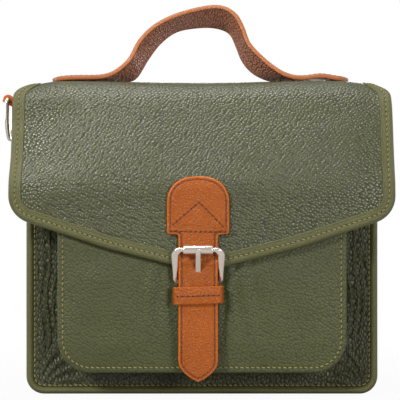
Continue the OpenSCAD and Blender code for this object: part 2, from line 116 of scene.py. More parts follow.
class BagSizes(bpy.types.PropertyGroup):
    """Main sizes of the bag"""
    wall: length("Wall height", PANEL_HIGH[2], "Top of the front and back panels")
    depth: length("Half depth", -PANEL_LOW[1], "Panel faces are at plus and minus this y")
    panel: length("Panel half width", PANEL_HIGH[0], "Half width of front and back panels")
    rim: length("Rim half width", RIM_HIGH[0], "Outer half width over the bound edges")
    pocket: length("Pocket half width", POCKET_HIGH[0], "Half width of the pocket face")
    pocket_y: length("Pocket face", POCKET_LOW[1], "Y of the pocket's outer face")
    pocket_low: length("Pocket base", POCKET_LOW[2], "Lower edge of the pocket face")
    pocket_top: length("Pocket top", POCKET_HIGH[2], "Top of the pocket face")
    flap: length("Flap half width", FLAP_HIGH[0], "Half width of the hanging flap")
    flap_top: length("Flap top half width", FLAP_TOP_HIGH[0], "Half width of the flap's top")
    flap_thick: length("Flap thickness", SEAM_HIGH[1] - SEAM_LOW[1], "Leather and lining together")
    strap_x: length("Strap place", 0.5 * (TONGUE_LOW[0] + TONGUE_HIGH[0]), "X of the strap's middle")
    strap: length("Strap half width", 0.5 * (TONGUE_HIGH[0] - TONGUE_LOW[0]), "Half width of the strap")
    handle: length("Handle width", 27.0, "Width of the handle strap")
    rise: length("Handle rise", 52.5, "Height of the handle's arch over its ends")
    pitch: length("Stitch pitch", 3.5, "Distance from stitch to stitch")


class BagColours(bpy.types.PropertyGroup):
    """Colours of the bag's materials"""
    olive: colour("Olive", (75, 77, 40), "Pebbled leather of body and flap")
    olive_dark: colour("Olive valley", (42, 44, 22), "Valleys of the pebbled grain")
    edge: colour("Bound edge", (90, 89, 50), "Leather of the folded edges")
    tan: colour("Tan", (174, 87, 9), "Closure strap, keeper and ring tabs")
    tan_dark: colour("Tan shade", (112, 50, 16), "Flecks and burnish of tan leather")
    handle: colour("Handle", (142, 84, 46), "Upper side and edges of the handle")
    # The handle's underside has a pebbled grain of its own. Its colour is set lighter than the upper side's
    # to lift the shade beneath the arch, which is painted light.
    under: colour("Handle underside", (196, 126, 92), "Pebbled underside of the handle")
    thread: colour("Olive thread", (140, 134, 80), "Stitching on olive leather")
    thread_tan: colour("Tan thread", (128, 62, 26), "Stitching on tan leather")
    lining: colour("Lining", (72, 66, 52), "Woven cloth inside")
    board: colour("Board", (60, 56, 48), "Base board")
    nickel: colour("Nickel", (244, 232, 219), "Buckle, rings and snap")


def sizes():
    """The size properties as plain numbers in mm."""
    group = bpy.context.scene.bag_sizes
    return SimpleNamespace(**{name: getattr(group, name) / MM for name in BagSizes.__annotations__})


# Array helpers
def smooth(a, b, x):
    """Smooth step: 0 below a, 1 above b, u*u*(3 - 2u) between them."""
    u = np.clip((np.asarray(x, float) - a) / (b - a), 0.0, 1.0)
    return u * u * (3.0 - 2.0 * u)


def bump(x, c, w):
    """Gauss bump exp(-((x - c) / w)^2)."""
    return np.exp(-((np.asarray(x, float) - c) / w) ** 2)


def ripple(x, z, seed, size):
    """Sum of five sines with golden-angle headings, about -1..1: soft waves."""
    out = 0.0
    for k in range(5):
        a = 2.39996 * (k + seed)
        f = (1.0 + 0.37 * k) * 2.0 * np.pi / size
        out = out + np.sin(f * (x * np.cos(a) + z * np.sin(a)) + 1.7 * seed + k) / (1.5 + k)
    return out / 1.6


def round_end(left, reach, least=0.0):
    """Share of the full width at a distance left from a round end of that reach."""
    u = 1 - np.clip(left / reach, 0, 1)
    return np.sqrt(np.clip(1 - u ** 2, least, 1))


def unit(v):
    """Vectors of length 1 along the last axis."""
    return v / np.maximum(np.linalg.norm(v, axis=-1, keepdims=True), 1e-9)


def both(x, z):
    """Two coordinates as float arrays of one shape."""
    return np.broadcast_arrays(np.asarray(x, float), np.asarray(z, float))


def arc_length(path):
    """Running length of a polyline."""
    return np.concatenate([[0.0], np.cumsum(np.linalg.norm(np.diff(path, axis=0), axis=1))])


def resample(path, n):
    """The polyline at n places equally far apart along it."""
    path = np.asarray(path, float)
    s = arc_length(path)
    t = np.linspace(0.0, s[-1], n)
    return np.stack([np.interp(t, s, path[:, i]) for i in range(path.shape[1])], 1)


def ring_of(path, n):
    """A closed polyline at n places equally far apart round it."""
    return resample(np.concatenate([path, path[:1]]), n + 1)[:-1]


def rounded(corners, closed=False, steps=10):
    """Polyline through (x, y, r) corners, each replaced by its tangent arc.

    With half the angle between the legs as h, the arc touches both legs at
    r / tan(h) from the corner; its centre is on the bisector at r / sin(h).
    """
    c = np.asarray(corners, float)
    out = []
    n = len(c)
    for i in range(n):
        p, r = c[i, :2], c[i, 2]
        if (not closed and i in (0, n - 1)) or r <= 0:
            out.append(p[None])
            continue
        u = unit(c[i - 1, :2] - p)
        v = unit(c[(i + 1) % n, :2] - p)
        half = 0.5 * np.arccos(np.clip(np.dot(u, v), -1.0, 1.0))
        mid = p + unit(u + v) * r / np.sin(half)
        a = p + u * r / np.tan(half) - mid
        b = p + v * r / np.tan(half) - mid
        turn = np.arccos(np.clip(np.dot(a, b) / r ** 2, -1.0, 1.0))
        f = np.linspace(0.0, 1.0, steps)[:, None]
        out.append(mid + (np.sin((1 - f) * turn) * a + np.sin(f * turn) * b) / np.sin(turn))
    return np.concatenate(out)


def catmull(p, n):
    """Catmull-Rom curve through p, n points per leg."""
    p = np.asarray(p, float)
    e = np.concatenate([p[:1], p, p[-1:]])
    u = np.linspace(0, 1, n, endpoint=False)[None, :, None]
    p0, p1, p2, p3 = (e[i:len(p) - 1 + i, None] for i in range(4))
    q = 0.5 * (2 * p1 + (p2 - p0) * u + (2 * p0 - 5 * p1 + 4 * p2 - p3) * u ** 2
               + (3 * p1 - p0 - 3 * p2 + p3) * u ** 3)
    return np.concatenate([q.reshape(-1, p.shape[1]), p[-1:]])


def inward(loop, closed=True, reach=0.0):
    """Mitred offset directions of a 2-D polyline, to the right of travel.

    m = (n1 + n2) / (1 + n1.n2) keeps every offset line parallel to its leg. Within
    the reach of a sharp corner points also slide along their leg, by m.t (1 - d/reach),
    so that an inset never folds over itself.
    """
    d = np.diff(loop, axis=0, append=loop[:1]) if closed else np.diff(loop, axis=0)
    leg = np.linalg.norm(d, axis=1)
    d = d / np.maximum(leg, 1e-9)[:, None]
    nrm = np.stack([d[:, 1], -d[:, 0]], 1)
    before = np.roll(nrm, 1, axis=0) if closed else np.concatenate([nrm[:1], nrm])
    after = nrm if closed else np.concatenate([nrm, nrm[-1:]])
    turn = np.sum(before * after, 1)
    m = (before + after) / np.maximum(1.0 + turn, 0.35)[:, None]
    n = len(loop)
    sharp = turn < 0.9
    out = m.copy()
    for k in np.flatnonzero(sharp) if reach else ():
        for way in (1, -1):
            first = way * d[k if way > 0 else (k - 1) % n]
            far = 0.0
            j = k
            while True:
                e = j if way > 0 else (j - 1) % n
                far += leg[e]
                j = (j + way) % n
                if far >= reach or sharp[j]:
                    break
                out[j] += way * d[e] * float(m[k] @ first) * (1.0 - far / reach)
    return out


def coons(loop, nu, nv, fade=1.0):
    """Coons patch inside a loop of 2*(nu + nv) - 4 points from its first corner.

    P = (1-u)L + uR + (1-v)^k (T - its chord) + v^k (B - its chord); k 1 is the common patch.
    """
    top = loop[:nu]
    right = loop[nu - 1:nu + nv - 1]
    bottom = loop[nu + nv - 2:2 * nu + nv - 2][::-1]
    left = np.concatenate([loop[2 * nu + nv - 3:], loop[:1]])[::-1]
    u = np.linspace(0, 1, nu)[None, :, None]
    v = np.linspace(0, 1, nv)[:, None, None]
    p = (1 - u) * left[:, None] + u * right[:, None]
    p = p + (1 - v) ** fade * (top - (1 - u[0]) * top[:1] - u[0] * top[-1:])[None]
    return p + v ** fade * (bottom - (1 - u[0]) * bottom[:1] - u[0] * bottom[-1:])[None]


def four_sides(top, right, bottom, left, nu, nv):
    """One loop from four polylines given in order of travel round the outline."""
    return np.concatenate([resample(top, nu)[:-1], resample(right, nv)[:-1],
                           resample(bottom, nu)[:-1], resample(left, nv)[:-1]])


def oblong(w, t, r, k=5):
    """Closed rounded rectangle profile: half width w, half thickness t, radius r."""
    a = np.linspace(0, np.pi / 2, k)
    q = np.stack([np.cos(a), np.sin(a)], 1) * r
    c = []
    for i, (sx, sy) in enumerate(((1, 1), (-1, 1), (-1, -1), (1, -1))):
        ang = i * np.pi / 2
        rot = np.array([[np.cos(ang), np.sin(ang)], [-np.sin(ang), np.cos(ang)]])
        c.append(q @ rot + np.array([sx * (w - r), sy * (t - r)]))
    return np.concatenate(c)


def oval(n, power=2.0):
    """Closed superellipse profile of half width 1, with n points."""
    a = np.linspace(0, 2 * np.pi, n, endpoint=False)
    c = np.stack([np.cos(a), np.sin(a)], 1)
    return np.sign(c) * np.abs(c) ** (2.0 / power)


def normals_of(place, a, b, d=0.4):
    """Unit normals of a placed sheet's face by central differences."""
    u = place(a + d, b, 0.0) - place(a - d, b, 0.0)
    v = place(a, b + d, 0.0) - place(a, b - d, 0.0)
    return unit(np.cross(u, v))


# Mesh builders
THREAD_STEPS = np.array([0.0, 0.1, 0.24, 0.5, 0.76, 0.9, 1.0])
THREAD_SIDES = 6
THREAD_LIFT = 0.1
THREAD_SLANT = 0.5
HOLE_RADIUS = 0.55
HOLE_RISE = 0.08
HOLE_DEPTH = 0.6
CORNER_REACH = 2.5


def grid_faces(nu, nv, wrap_u=False, wrap_v=False):
    """Quads of an nu by nv grid of points, rows first."""
    a = np.arange(nu if wrap_u else nu - 1)[:, None]
    c = np.arange(nv if wrap_v else nv - 1)[None, :]
    b = (a + 1) % nu
    d = (c + 1) % nv
    return np.stack([a * nv + c, a * nv + d, b * nv + d, b * nv + c], -1).reshape(-1, 4)


def tiled(faces, step, n):
    """The faces of one small shape for n such shapes of step points each."""
    faces = np.asarray(faces)
    return (faces + step * np.arange(n)[:, None, None]).reshape(-1, faces.shape[1])


class Shape:
    """Collects points in mm and their faces into one mesh.

    Each point has an edge value for its material, and its place on the flat hide as its skin.
    """

    def __init__(self):
        self.points = []
        self.edges = []
        self.skins = []
        self.faces = []
        self.mats = []
        self.count = 0

    def put(self, pts, blocks, edge=0.0, skin=None):
        """Adds points (n, 3) and blocks of (faces, their material) that index them.

        The skin is the points themselves unless given.
        """
        self.points.append(pts)
        self.skins.append(pts if skin is None else skin)
        self.edges.append(np.broadcast_to(edge, len(pts)))
        for faces, mats in blocks:
            self.faces += (np.asarray(faces) + self.count).tolist()
            self.mats.append(np.broadcast_to(mats, len(faces)))
        self.count += len(pts)

    def grid(self, p, wrap_u=False, wrap_v=False, caps=False, mats=0, edge=0.0):
        """A grid of points p[nu, nv, 3]; caps close the first and last row.

        mats is one material or one for each strip of faces along the grid, edge one value
        or one for each column. The skin is the distance across each row and along their middle.
        """
        nu, nv = p.shape[:2]
        faces = grid_faces(nu, nv, wrap_u, wrap_v)
        strips = np.broadcast_to(mats, nv if wrap_v else nv - 1)
        blocks = [(faces, np.tile(strips, len(faces) // len(strips)))]
        if caps:
            row = np.arange(nv)
            blocks.append(([row[::-1], row + (nu - 1) * nv], strips[0]))
        step = np.linalg.norm(np.diff(p, axis=1), axis=2)
        across = np.pad(np.cumsum(step, 1), ((0, 0), (1, 0)))
        along = np.broadcast_to(arc_length(p.mean(1))[:, None], across.shape)
        skin = np.stack([across, along, 0 * across], -1)
        self.put(p.reshape(-1, 3), blocks, np.tile(np.broadcast_to(edge, nv), nu), skin.reshape(-1, 3))

    def plate(self, loop, nu, nv, profile, place, back=0, fade=1.0):
        """A closed sheet: a Coons face, loops (inset, height) round its edge, a back face.

        place(a, b, h) puts pattern points a, b at height h over the sheet. back is the
        material of the back face. The skin is the flat pattern.
        """
        off = inward(loop, True, CORNER_REACH * max(inset for inset, _ in profile))
        flat = [loop + off * inset for inset, _ in profile]
        for k in (0, -1):
            flat[k] = coons(flat[k], nu, nv, fade).reshape(-1, 2)
        rows = [place(q[:, 0], q[:, 1], h) for q, (_, h) in zip(flat, profile)]
        edge = [np.full(len(q), 1.0 - smooth(0.2, 3.2, inset)) for q, (inset, _) in zip(flat, profile)]
        edge[0][:] = 0.0
        edge[-1][:] = 0.0
        down = np.arange(nv)
        border = np.concatenate([np.arange(nu), down[1:] * nu + nu - 1,
                                 (nv - 1) * nu + np.arange(nu - 2, -1, -1), down[-2:0:-1] * nu])
        start = np.cumsum([0] + [len(q) for q in flat[:-1]])
        rings = [border] + [b + np.arange(len(loop)) for b in start[1:-1]] + [start[-1] + border]
        wall = [np.stack([a, np.roll(a, -1), np.roll(b, -1), b], 1) for a, b in zip(rings[:-1], rings[1:])]
        face = grid_faces(nv, nu)
        blocks = [(face, 0), (np.concatenate(wall), 0), (face[:, ::-1] + start[-1], back)]
        skin = np.pad(np.concatenate(flat), ((0, 0), (0, 1)))
        self.put(np.concatenate(rows), blocks, np.concatenate(edge), skin)

    def edging(self, path, profile, place):
        """A strip along a pattern path: profile holds its closed (inset, height) loop."""
        off = inward(path, False)
        e = np.array(profile, float)
        a = path[:, None, 0] + off[:, None, 0] * e[None, :, 0]
        b = path[:, None, 1] + off[:, None, 1] * e[None, :, 0]
        p = place(a, b, np.broadcast_to(e[None, :, 1], a.shape))
        near = 1.0 - smooth(0.0, 2.5, e[:, 0])
        self.grid(p, wrap_v=True, caps=True, edge=near)

    def sweep(self, path, side, profile, scale=None, closed=False, edge=0.0):
        """Profile (across, up) along a path; up = tangent x side, scale one pair per place."""
        side = np.broadcast_to(np.asarray(side, float), path.shape)
        if closed:
            ahead = np.roll(path, -1, 0) - np.roll(path, 1, 0)
        else:
            ahead = np.gradient(path, axis=0)
        up = unit(np.cross(unit(ahead), side))
        q = profile[None] if scale is None else profile[None] * scale[:, None]
        p = path[:, None] + side[:, None] * q[..., :1] + up[:, None] * q[..., 1:]
        self.grid(p, wrap_u=closed, wrap_v=True, caps=not closed, edge=edge)

    def stitches(self, path, normal, pitch, run=0.95, radius=0.46, closed=False):
        """Thread stitches along a path: arched bars that dive into small plugs, their holes.

        The edge value is 1 on the holes between them and where the thread goes in; the thread finish paints
        these near-black as shade.
        """
        if closed:
            path = np.concatenate([path, path[:1]])
            normal = np.concatenate([normal, normal[:1]])
        s = arc_length(path)
        n = max(int(round(s[-1] / pitch)), 1)
        step = s[-1] / n
        turn = np.arange(THREAD_SIDES) * 2 * np.pi / THREAD_SIDES
        cos = np.cos(turn)[:, None]
        sin = np.sin(turn)[:, None]

        def along(v, at):
            return np.stack([np.interp(at, s, v[:, k]) for k in range(3)], -1)

        f = THREAD_STEPS
        at = (np.arange(n)[:, None] + 0.5 * (1 - run) + run * f) * step
        c = along(path, at)
        up = unit(along(normal, at))
        side = np.cross(unit(np.gradient(c, axis=1)), up)
        arch = np.sqrt(np.clip(np.sin(np.pi * f), 0, 1))
        c = c + up * (THREAD_LIFT - 0.55 * radius + 0.8 * radius * arch)[:, None]
        c = c + side * ((f - 0.5) * THREAD_SLANT)[:, None]
        r = radius * (0.4 + 0.6 * arch)[:, None, None]
        p = c[:, :, None] + r * (cos * side[:, :, None] + 0.8 * sin * up[:, :, None])
        points = len(f) * THREAD_SIDES
        last = np.arange(points - THREAD_SIDES, points)
        tube = tiled(grid_faces(len(f), THREAD_SIDES, wrap_v=True), points, n)
        ends = tiled([np.arange(THREAD_SIDES)[::-1], last], points, n)
        # The thread's ends, where it dives in, get edge 1 and are painted near-black as shade by the thread
        # finish.
        dark = np.tile(np.repeat((arch < 0.6).astype(float), THREAD_SIDES), n)
        self.put(p.reshape(-1, 3), [(tube, 0), (ends, 0)], dark)

        # Needle holes: small cones into the leather with edge 1, which the thread finish paints near-black
        # as shade.
        at = np.arange(n if closed else n + 1) * step
        c = along(path, at)
        up = along(normal, at)
        side = unit(np.cross(np.gradient(c, axis=0), up))
        ahead = np.cross(up, side)
        circle = cos * ahead[:, None] + sin * side[:, None]
        rim = (c + HOLE_RISE * up)[:, None] + HOLE_RADIUS * circle
        p = np.concatenate([rim, (c - HOLE_DEPTH * up)[:, None]], 1)
        ring = np.arange(THREAD_SIDES)
        lid = tiled([ring], THREAD_SIDES + 1, len(at))
        cone = np.stack([np.roll(ring, -1), ring, np.full(THREAD_SIDES, THREAD_SIDES)], 1)
        self.put(p.reshape(-1, 3), [(lid, 0), (tiled(cone, THREAD_SIDES + 1, len(at)), 0)], 1.0)

    def make(self, name, mats, slot, body=None, bend=None, replaces=()):
        """Writes the mesh object and rides it on a body, or with a bend keeps it where it is on no body.

        A bend is (first body, second body, its start, its end), both ends in mm; these are not used.
        """
        mesh = bpy.data.meshes.new(name)
        mesh.from_pydata((np.concatenate(self.points) * MM).tolist(), [], self.faces)
        mesh.polygons.foreach_set("use_smooth", np.ones(len(self.faces), bool))
        mesh.polygons.foreach_set("material_index", np.concatenate(self.mats).astype(np.int32))
        for key in mats:
            mesh.materials.append(material(key))
        edge = mesh.attributes.new("edge", 'FLOAT', 'POINT')
        edge.data.foreach_set("value", np.concatenate(self.edges).astype(np.float32))
        skin = mesh.attributes.new("skin", 'FLOAT_VECTOR', 'POINT')
        skin.data.foreach_set("vector", np.concatenate(self.skins).astype(np.float32).ravel())
        bm = bmesh.new()
        bm.from_mesh(mesh)
        bmesh.ops.recalc_face_normals(bm, faces=bm.faces)
        bm.to_mesh(mesh)
        bm.free()
        mesh.update()
        obj = bpy.data.objects.new(name, mesh)
        bpy.context.scene.collection.objects.link(obj)
        if bend:
            first, second, start, end = bend
            [c * MM for c in start]
            [c * MM for c in end]
            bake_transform(obj)
        else:
            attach(obj, body)
        if replaces:
            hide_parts(*replaces)


# Materials
class Sock:
    """An output socket of a node tree, with arithmetic that makes Math nodes."""

    def __init__(self, tree, out):
        self.tree = tree
        self.out = out

    def node(self, kind, inputs=None, out=0, **settings):
        """A new node of that kind: settings first, then inputs by name or index."""
        n = self.tree.nodes.new(kind)
        for key, value in settings.items():
            setattr(n, key, value)
        for key, value in (inputs or {}).items():
            if isinstance(value, Sock):
                self.tree.links.new(value.out, n.inputs[key])
            else:
                n.inputs[key].default_value = value
        return Sock(self.tree, n.outputs[out])

    def op(self, name, *values):
        """One Math node on this socket and the given values."""
        return self.node('ShaderNodeMath', dict(enumerate((self,) + values)), operation=name)

    def __add__(self, other):
        return self.op('ADD', other)

    def __sub__(self, other):
        return self.op('SUBTRACT', other)

    def __mul__(self, other):
        return self.op('MULTIPLY', other)

    __radd__ = __add__
    __rmul__ = __mul__

    def __rsub__(self, other):
        return self.op('MULTIPLY', -1.0).op('ADD', other)

    def step(self, a, b, low=0.0, high=1.0):
        """Smooth step of this socket from a to b, onto low..high."""
        return self.node('ShaderNodeMapRange', {0: self, 1: a, 2: b, 3: low, 4: high},
                         interpolation_type='SMOOTHSTEP')

    def mix(self, a, b):
        """Colour a where this is 0 and b where it is 1."""
        return self.node('ShaderNodeMix', {0: self, 6: a, 7: b}, out=2, data_type='RGBA')

    def grow(self, k):
        """This vector times the triple k."""
        return self.node('ShaderNodeVectorMath', {0: self, 1: k}, operation='MULTIPLY')

    def shift(self, v):
        """This vector plus the vector v."""
        return self.node('ShaderNodeVectorMath', {0: self, 1: v}, operation='ADD')

    def axis(self, i):
        """Component i of this vector."""
        return self.node('ShaderNodeSeparateXYZ', {0: self}, out=i)

    def noise(self, scale, detail=2.0, out=0):
        """Noise on this vector: out 0 is its value, out 1 its colour."""
        return self.node('ShaderNodeTexNoise', {'Vector': self, 'Scale': scale, 'Detail': detail}, out=out)

    def cells(self, scale, feature, loose=1.0):
        """Voronoi distance on this vector, from a lattice (loose 0) to random cells (1)."""
        return self.node('ShaderNodeTexVoronoi',
                         {'Vector': self, 'Scale': scale, 'Randomness': loose}, feature=feature)

    def edge(self):
        """The mesh's edge value."""
        return self.node('ShaderNodeAttribute', out=2, attribute_name="edge")

    def skin(self):
        """The place on the flat hide, in mm."""
        return self.node('ShaderNodeAttribute', out=1, attribute_name="skin")


def shade(c, k=1.0):
    """A colour times k, as four numbers."""
    return (min(c[0] * k, 1.0), min(c[1] * k, 1.0), min(c[2] * k, 1.0), 1.0)


def start(name):
    """A new material and its object coordinates in mm."""
    m = bpy.data.materials.new(name)
    m.use_nodes = True
    at = m.node_tree.nodes.new('ShaderNodeTexCoord')
    return m, Sock(m.node_tree, at.outputs['Object']).grow((1000.0, 1000.0, 1000.0))


def wire(m, col, rough, height, depth, fixed):
    """Colour, roughness and bump of that depth in mm into the shader; fixed values set on it."""
    tree = m.node_tree
    bsdf = tree.nodes["Principled BSDF"]
    relief = col.node('ShaderNodeBump', {'Strength': 1.0, 'Distance': depth * MM, 'Height': height})
    tree.links.new(col.out, bsdf.inputs['Base Color'])
    tree.links.new(rough.out, bsdf.inputs['Roughness'])
    tree.links.new(relief.out, bsdf.inputs['Normal'])
    for key, value in fixed.items():
        bsdf.inputs[key].default_value = value


def pebbled(name, base, valley, cell=2.0, depth=0.31, rough=0.25, worn=1.25, gloss=0.56,
            pull=(0.95, 1.05, 1.0)):
    """Pebbled leather: soft Voronoi domes on the warped flat hide, with valleys, pores and drift.

    pull stretches the rows of pebbles, worn is the tone of rubbed edges.
    """
    m, mm = start(name)
    warp = mm.noise(0.04, 2.0, out=1).grow((4.0, 4.0, 0.0))
    rows = mm.node('ShaderNodeMapping', {'Vector': mm.skin().shift(warp), 'Rotation': (0.0, 0.0, 0.6),
                                         'Scale': pull})
    p = rows.shift((0.0, 0.0, 0.5 * cell))
    away = p.cells(1.0 / cell, 'F1', 0.75)
    dome = 1.0 - away * away * 1.7
    wall = p.cells(1.0 / cell, 'DISTANCE_TO_EDGE', 0.75).step(0.0, 0.30)
    fold = mm.noise(0.06, 3.0)
    pore = mm.noise(2.6, 2.0)
    drift = mm.noise(0.017, 3.0).step(0.30, 0.70)
    top = drift.mix(shade(base, 0.92), shade(base, 1.08))
    tone = (dome * 0.6 + wall * 0.4 + (pore - 0.5) * 0.35).step(0.1, 0.85)
    rubbed = mm.edge().step(0.5, 1.0) * 0.5 * pore.step(0.3, 0.6)
    col = rubbed.mix(tone.mix(shade(valley), top), shade(base, worn))
    spread = (1.0 - wall) * 0.14 + (pore - 0.5) * 0.16 + rough
    height = dome * 0.8 + wall * 0.2 + pore * 0.05 + fold * 0.15
    wire(m, col, spread, height, depth, {'Specular IOR Level': gloss})


def smooth_hide(name, base, dark, depth=0.42, burnish=0.4):
    """Smooth leather: fine creased grain, flecks, burnish inside a pale cut edge."""
    m, mm = start(name)
    p = mm.shift(mm.noise(0.2, 2.0, out=1).grow((1.6, 1.6, 1.6)))
    wall = p.cells(1.0 / 1.7, 'DISTANCE_TO_EDGE').step(0.0, 0.3)
    pore = mm.noise(1.7, 3.0)
    drift = mm.noise(0.028, 4.0).step(0.28, 0.72)
    fleck = mm.noise(0.5, 3.0).step(0.45, 0.72)
    edge = mm.edge()
    col = drift.mix(shade(base, 0.84), shade(base, 1.10))
    col = (fleck * 0.3).mix(col, shade(dark))
    col = ((1.0 - wall) * 0.5).mix(col, shade(base, 0.6))
    col = (edge.step(0.25, 0.8) * burnish).mix(col, shade(dark))
    col = (edge.step(0.72, 0.95) * 0.75).mix(col, shade(base, 1.7))
    height = wall * 0.5 + pore * 0.4 + mm.noise(0.12, 2.0) * 0.5
    wire(m, col, (pore - 0.5) * 0.2 + 0.36, height, depth, {'Specular IOR Level': 0.32})


def thread(name, base):
    """Twisted thread: sin(9 (x + z)) twist over fibre noise, painted near-black as shade in its holes and
    where it goes in.
    """
    m, mm = start(name)
    twist = ((mm.axis(0) + mm.axis(2)) * 9.0 + mm.noise(0.8, 2.0) * 4.0).op('SINE') * 0.5 + 0.5
    fibre = mm.noise(3.5, 3.0)
    col = (twist * 0.6 + fibre * 0.4).mix(shade(base, 0.7), shade(base, 1.2))
    # Painted shade: the holes and the thread's ends, where edge is 1, go near-black.
    col = (mm.edge().step(0.2, 0.9) * 0.92).mix(col, shade(base, 0.06))
    wire(m, col, fibre * 0.3 + 0.5, twist, 0.12, {})


def woven(name, base):
    """Plain weave cloth: sin(6.2 x) sin(6.2 (z + y)) threads with slubs."""
    m, mm = start(name)
    warp = ((mm.axis(0) + mm.axis(1) * 0.37) * 6.2).op('SINE')
    weft = ((mm.axis(2) + mm.axis(1)) * 6.2).op('SINE')
    weave = warp * weft * 0.5 + 0.5
    slub = mm.noise(0.6, 3.0)
    col = (weave * 0.55 + slub * 0.45).mix(shade(base, 0.6), shade(base, 1.25))
    wire(m, col, slub * 0.2 + 0.72, weave + slub * 0.5, 0.18, {})


def pressed_board(name, base):
    """Pressed fibre board: stretched fibres and specks."""
    m, mm = start(name)
    fibre = mm.grow((0.25, 1.6, 1.6)).noise(1.0, 4.0)
    speck = mm.noise(1.3, 2.0).step(0.55, 0.75)
    col = (fibre * 0.7 + speck * 0.3).mix(shade(base, 0.6), shade(base, 1.3))
    wire(m, col, fibre * 0.2 + 0.68, fibre, 0.15, {})


def polished_metal(name, base):
    """Polished nickel: faint polishing lines and handling marks in gloss."""
    m, mm = start(name)
    lines = mm.grow((0.5, 6.0, 6.0)).noise(1.0, 3.0)
    smear = mm.noise(0.14, 3.0)
    col = (smear * 0.6 + lines * 0.4).mix(shade(base, 0.86), shade(base, 1.05))
    wire(m, col, smear * 0.12 + lines * 0.06 + 0.06, lines, 0.012, {'Metallic': 0.88})


FINISHES = {
    "olive": lambda name, c: pebbled(name, c.olive, c.olive_dark),
    # Front panel: the olive leather with its colour at 0.74 and its valleys at 0.30. This is painted shade
    # for the recess under the flap and beside the pocket; its stretched, deeper grain is the leather's own.
    "olive_panel": lambda name, c: pebbled(name, shade(c.olive, 0.74), shade(c.olive, 0.30), depth=0.6,
                                           rough=0.36, gloss=0.45, pull=(1.1, 0.66, 1.0)),
    "olive_calm": lambda name, c: pebbled(name, shade(c.olive, 0.98), shade(c.olive, 0.66), depth=0.27,
                                          rough=0.40, gloss=0.4),
    "edge": lambda name, c: pebbled(name, c.edge, shade(c.edge, 0.8), cell=1.3, depth=0.22, rough=0.42,
                                    worn=1.15, gloss=0.4),
    # Handle underside: its own pebbled grain, in a colour lightened as painted light against the shade
    # beneath the arch.
    "under": lambda name, c: pebbled(name, c.under, shade(c.under, 0.45), cell=2.1, depth=0.8, rough=0.40,
                                     gloss=0.4, pull=(0.55, 1.3, 1.0)),
    "tan": lambda name, c: smooth_hide(name, c.tan, c.tan_dark),
    "handle": lambda name, c: smooth_hide(name, c.handle, c.tan_dark, depth=0.25, burnish=0.15),
    "thread": lambda name, c: thread(name, c.thread),
    "thread_tan": lambda name, c: thread(name, c.thread_tan),
    "lining": lambda name, c: woven(name, c.lining),
    "board": lambda name, c: pressed_board(name, c.board),
    "nickel": lambda name, c: polished_metal(name, c.nickel),
}


def material(key):
    """The named finish, made once from the scene's colour properties."""
    name = "bag_" + key
    if name not in bpy.data.materials:
        FINISHES[key](name, bpy.context.scene.bag_colours)
    return bpy.data.materials[name]


# Flap
HINGE_Z = joint_mm("flap_top_hinge")[2]
SEAM_RUN = HINGE_Z - SEAM_LOW[2]
TOP_FLAT = 33.0
FRONT_LEG = 51.83
BACK_BEND_R = 14.0
FRONT_BEND_R = 24.0
KNEE_R = 40.0
CURVE_START = -60.0
CURVE_END = 240.0
CURVE_STEP = 0.25
CURVE_SOFT = 3.0
TOP_MEETS_BACK = 22.0
POINT_Z = 84.5
SLOPE_Z = 100.5
SIDE_Z = 121.5
BIND_SEAM = 4.1

FRONT_BEND = ("flap_top", "flap_front", (0, -16.7, 213.0), (0, -39.5, 196.4))
BACK_BEND = ("bag_body", "flap_top", (0, 30.3, 194.5), (0, 16.3, 212.5))

# Folded strip round the flap's edge as (inset, height over the leather)
BIND = [(8.35, -0.3), (8.3, 0.35), (8.0, 0.72), (7.5, 0.7), (7.0, 0.5), (6.0, 0.72), (5.0, 0.72),
        (4.5, 0.55), (4.1, 0.42), (3.7, 0.55), (3.0, 0.8), (1.7, 0.8), (0.6, 0.35), (-0.1, -0.6),
        (-0.35, -1.6), (-0.1, -2.7), (0.7, -3.4), (2.2, -3.7), (5.5, -3.75), (7.8, -3.65),
        (8.2, -3.2), (7.4, -2.6), (1.7, -2.4), (1.7, -0.6), (7.4, -0.45)]


def flap_curve():
    """The flap's side line as a table (t, y, z, angle of its outer normal).

    From the hinge on, the normal turns over the back bend, stays up along the
    top, turns over the front bend, stays along the front and turns upright at
    the knee. The turn is softened by a Gauss filter and integrated:
    dy = -sin(a) dt, dz = cos(a) dt.
    """
    turns = np.radians([90.0, 0.0, 72.0, 0.0, 18.0])
    runs = turns * [BACK_BEND_R, 0.0, FRONT_BEND_R, 0.0, KNEE_R] + [0.0, TOP_FLAT, 0.0, FRONT_LEG, 0.0]
    t = np.arange(CURVE_START, CURVE_END, CURVE_STEP)
    a = np.interp(t, np.append(0.0, np.cumsum(runs)), np.append(0.0, np.cumsum(turns)))
    reach = int(4 * CURVE_SOFT / CURVE_STEP)
    k = np.exp(-(np.arange(-reach, reach + 1) * CURVE_STEP / CURVE_SOFT) ** 2 / 2)
    a = np.convolve(np.pad(a, reach, mode='edge'), k / k.sum(), mode='valid')
    mid = 0.5 * (a[1:] + a[:-1])
    y = SEAM_HIGH[1] - np.append(0.0, np.cumsum(np.sin(mid) * CURVE_STEP))
    z = HINGE_Z + CURVE_START + np.append(0.0, np.cumsum(np.cos(mid) * CURVE_STEP))
    return t, y, z, a


CURVE_T, CURVE_Y, CURVE_Z, CURVE_A = flap_curve()


def flap_t(z):
    """Pattern distance t on the hanging front of the flap at height z."""
    front = CURVE_T > 40.0
    return np.interp(-np.asarray(z, float), -CURVE_Z[front], CURVE_T[front])


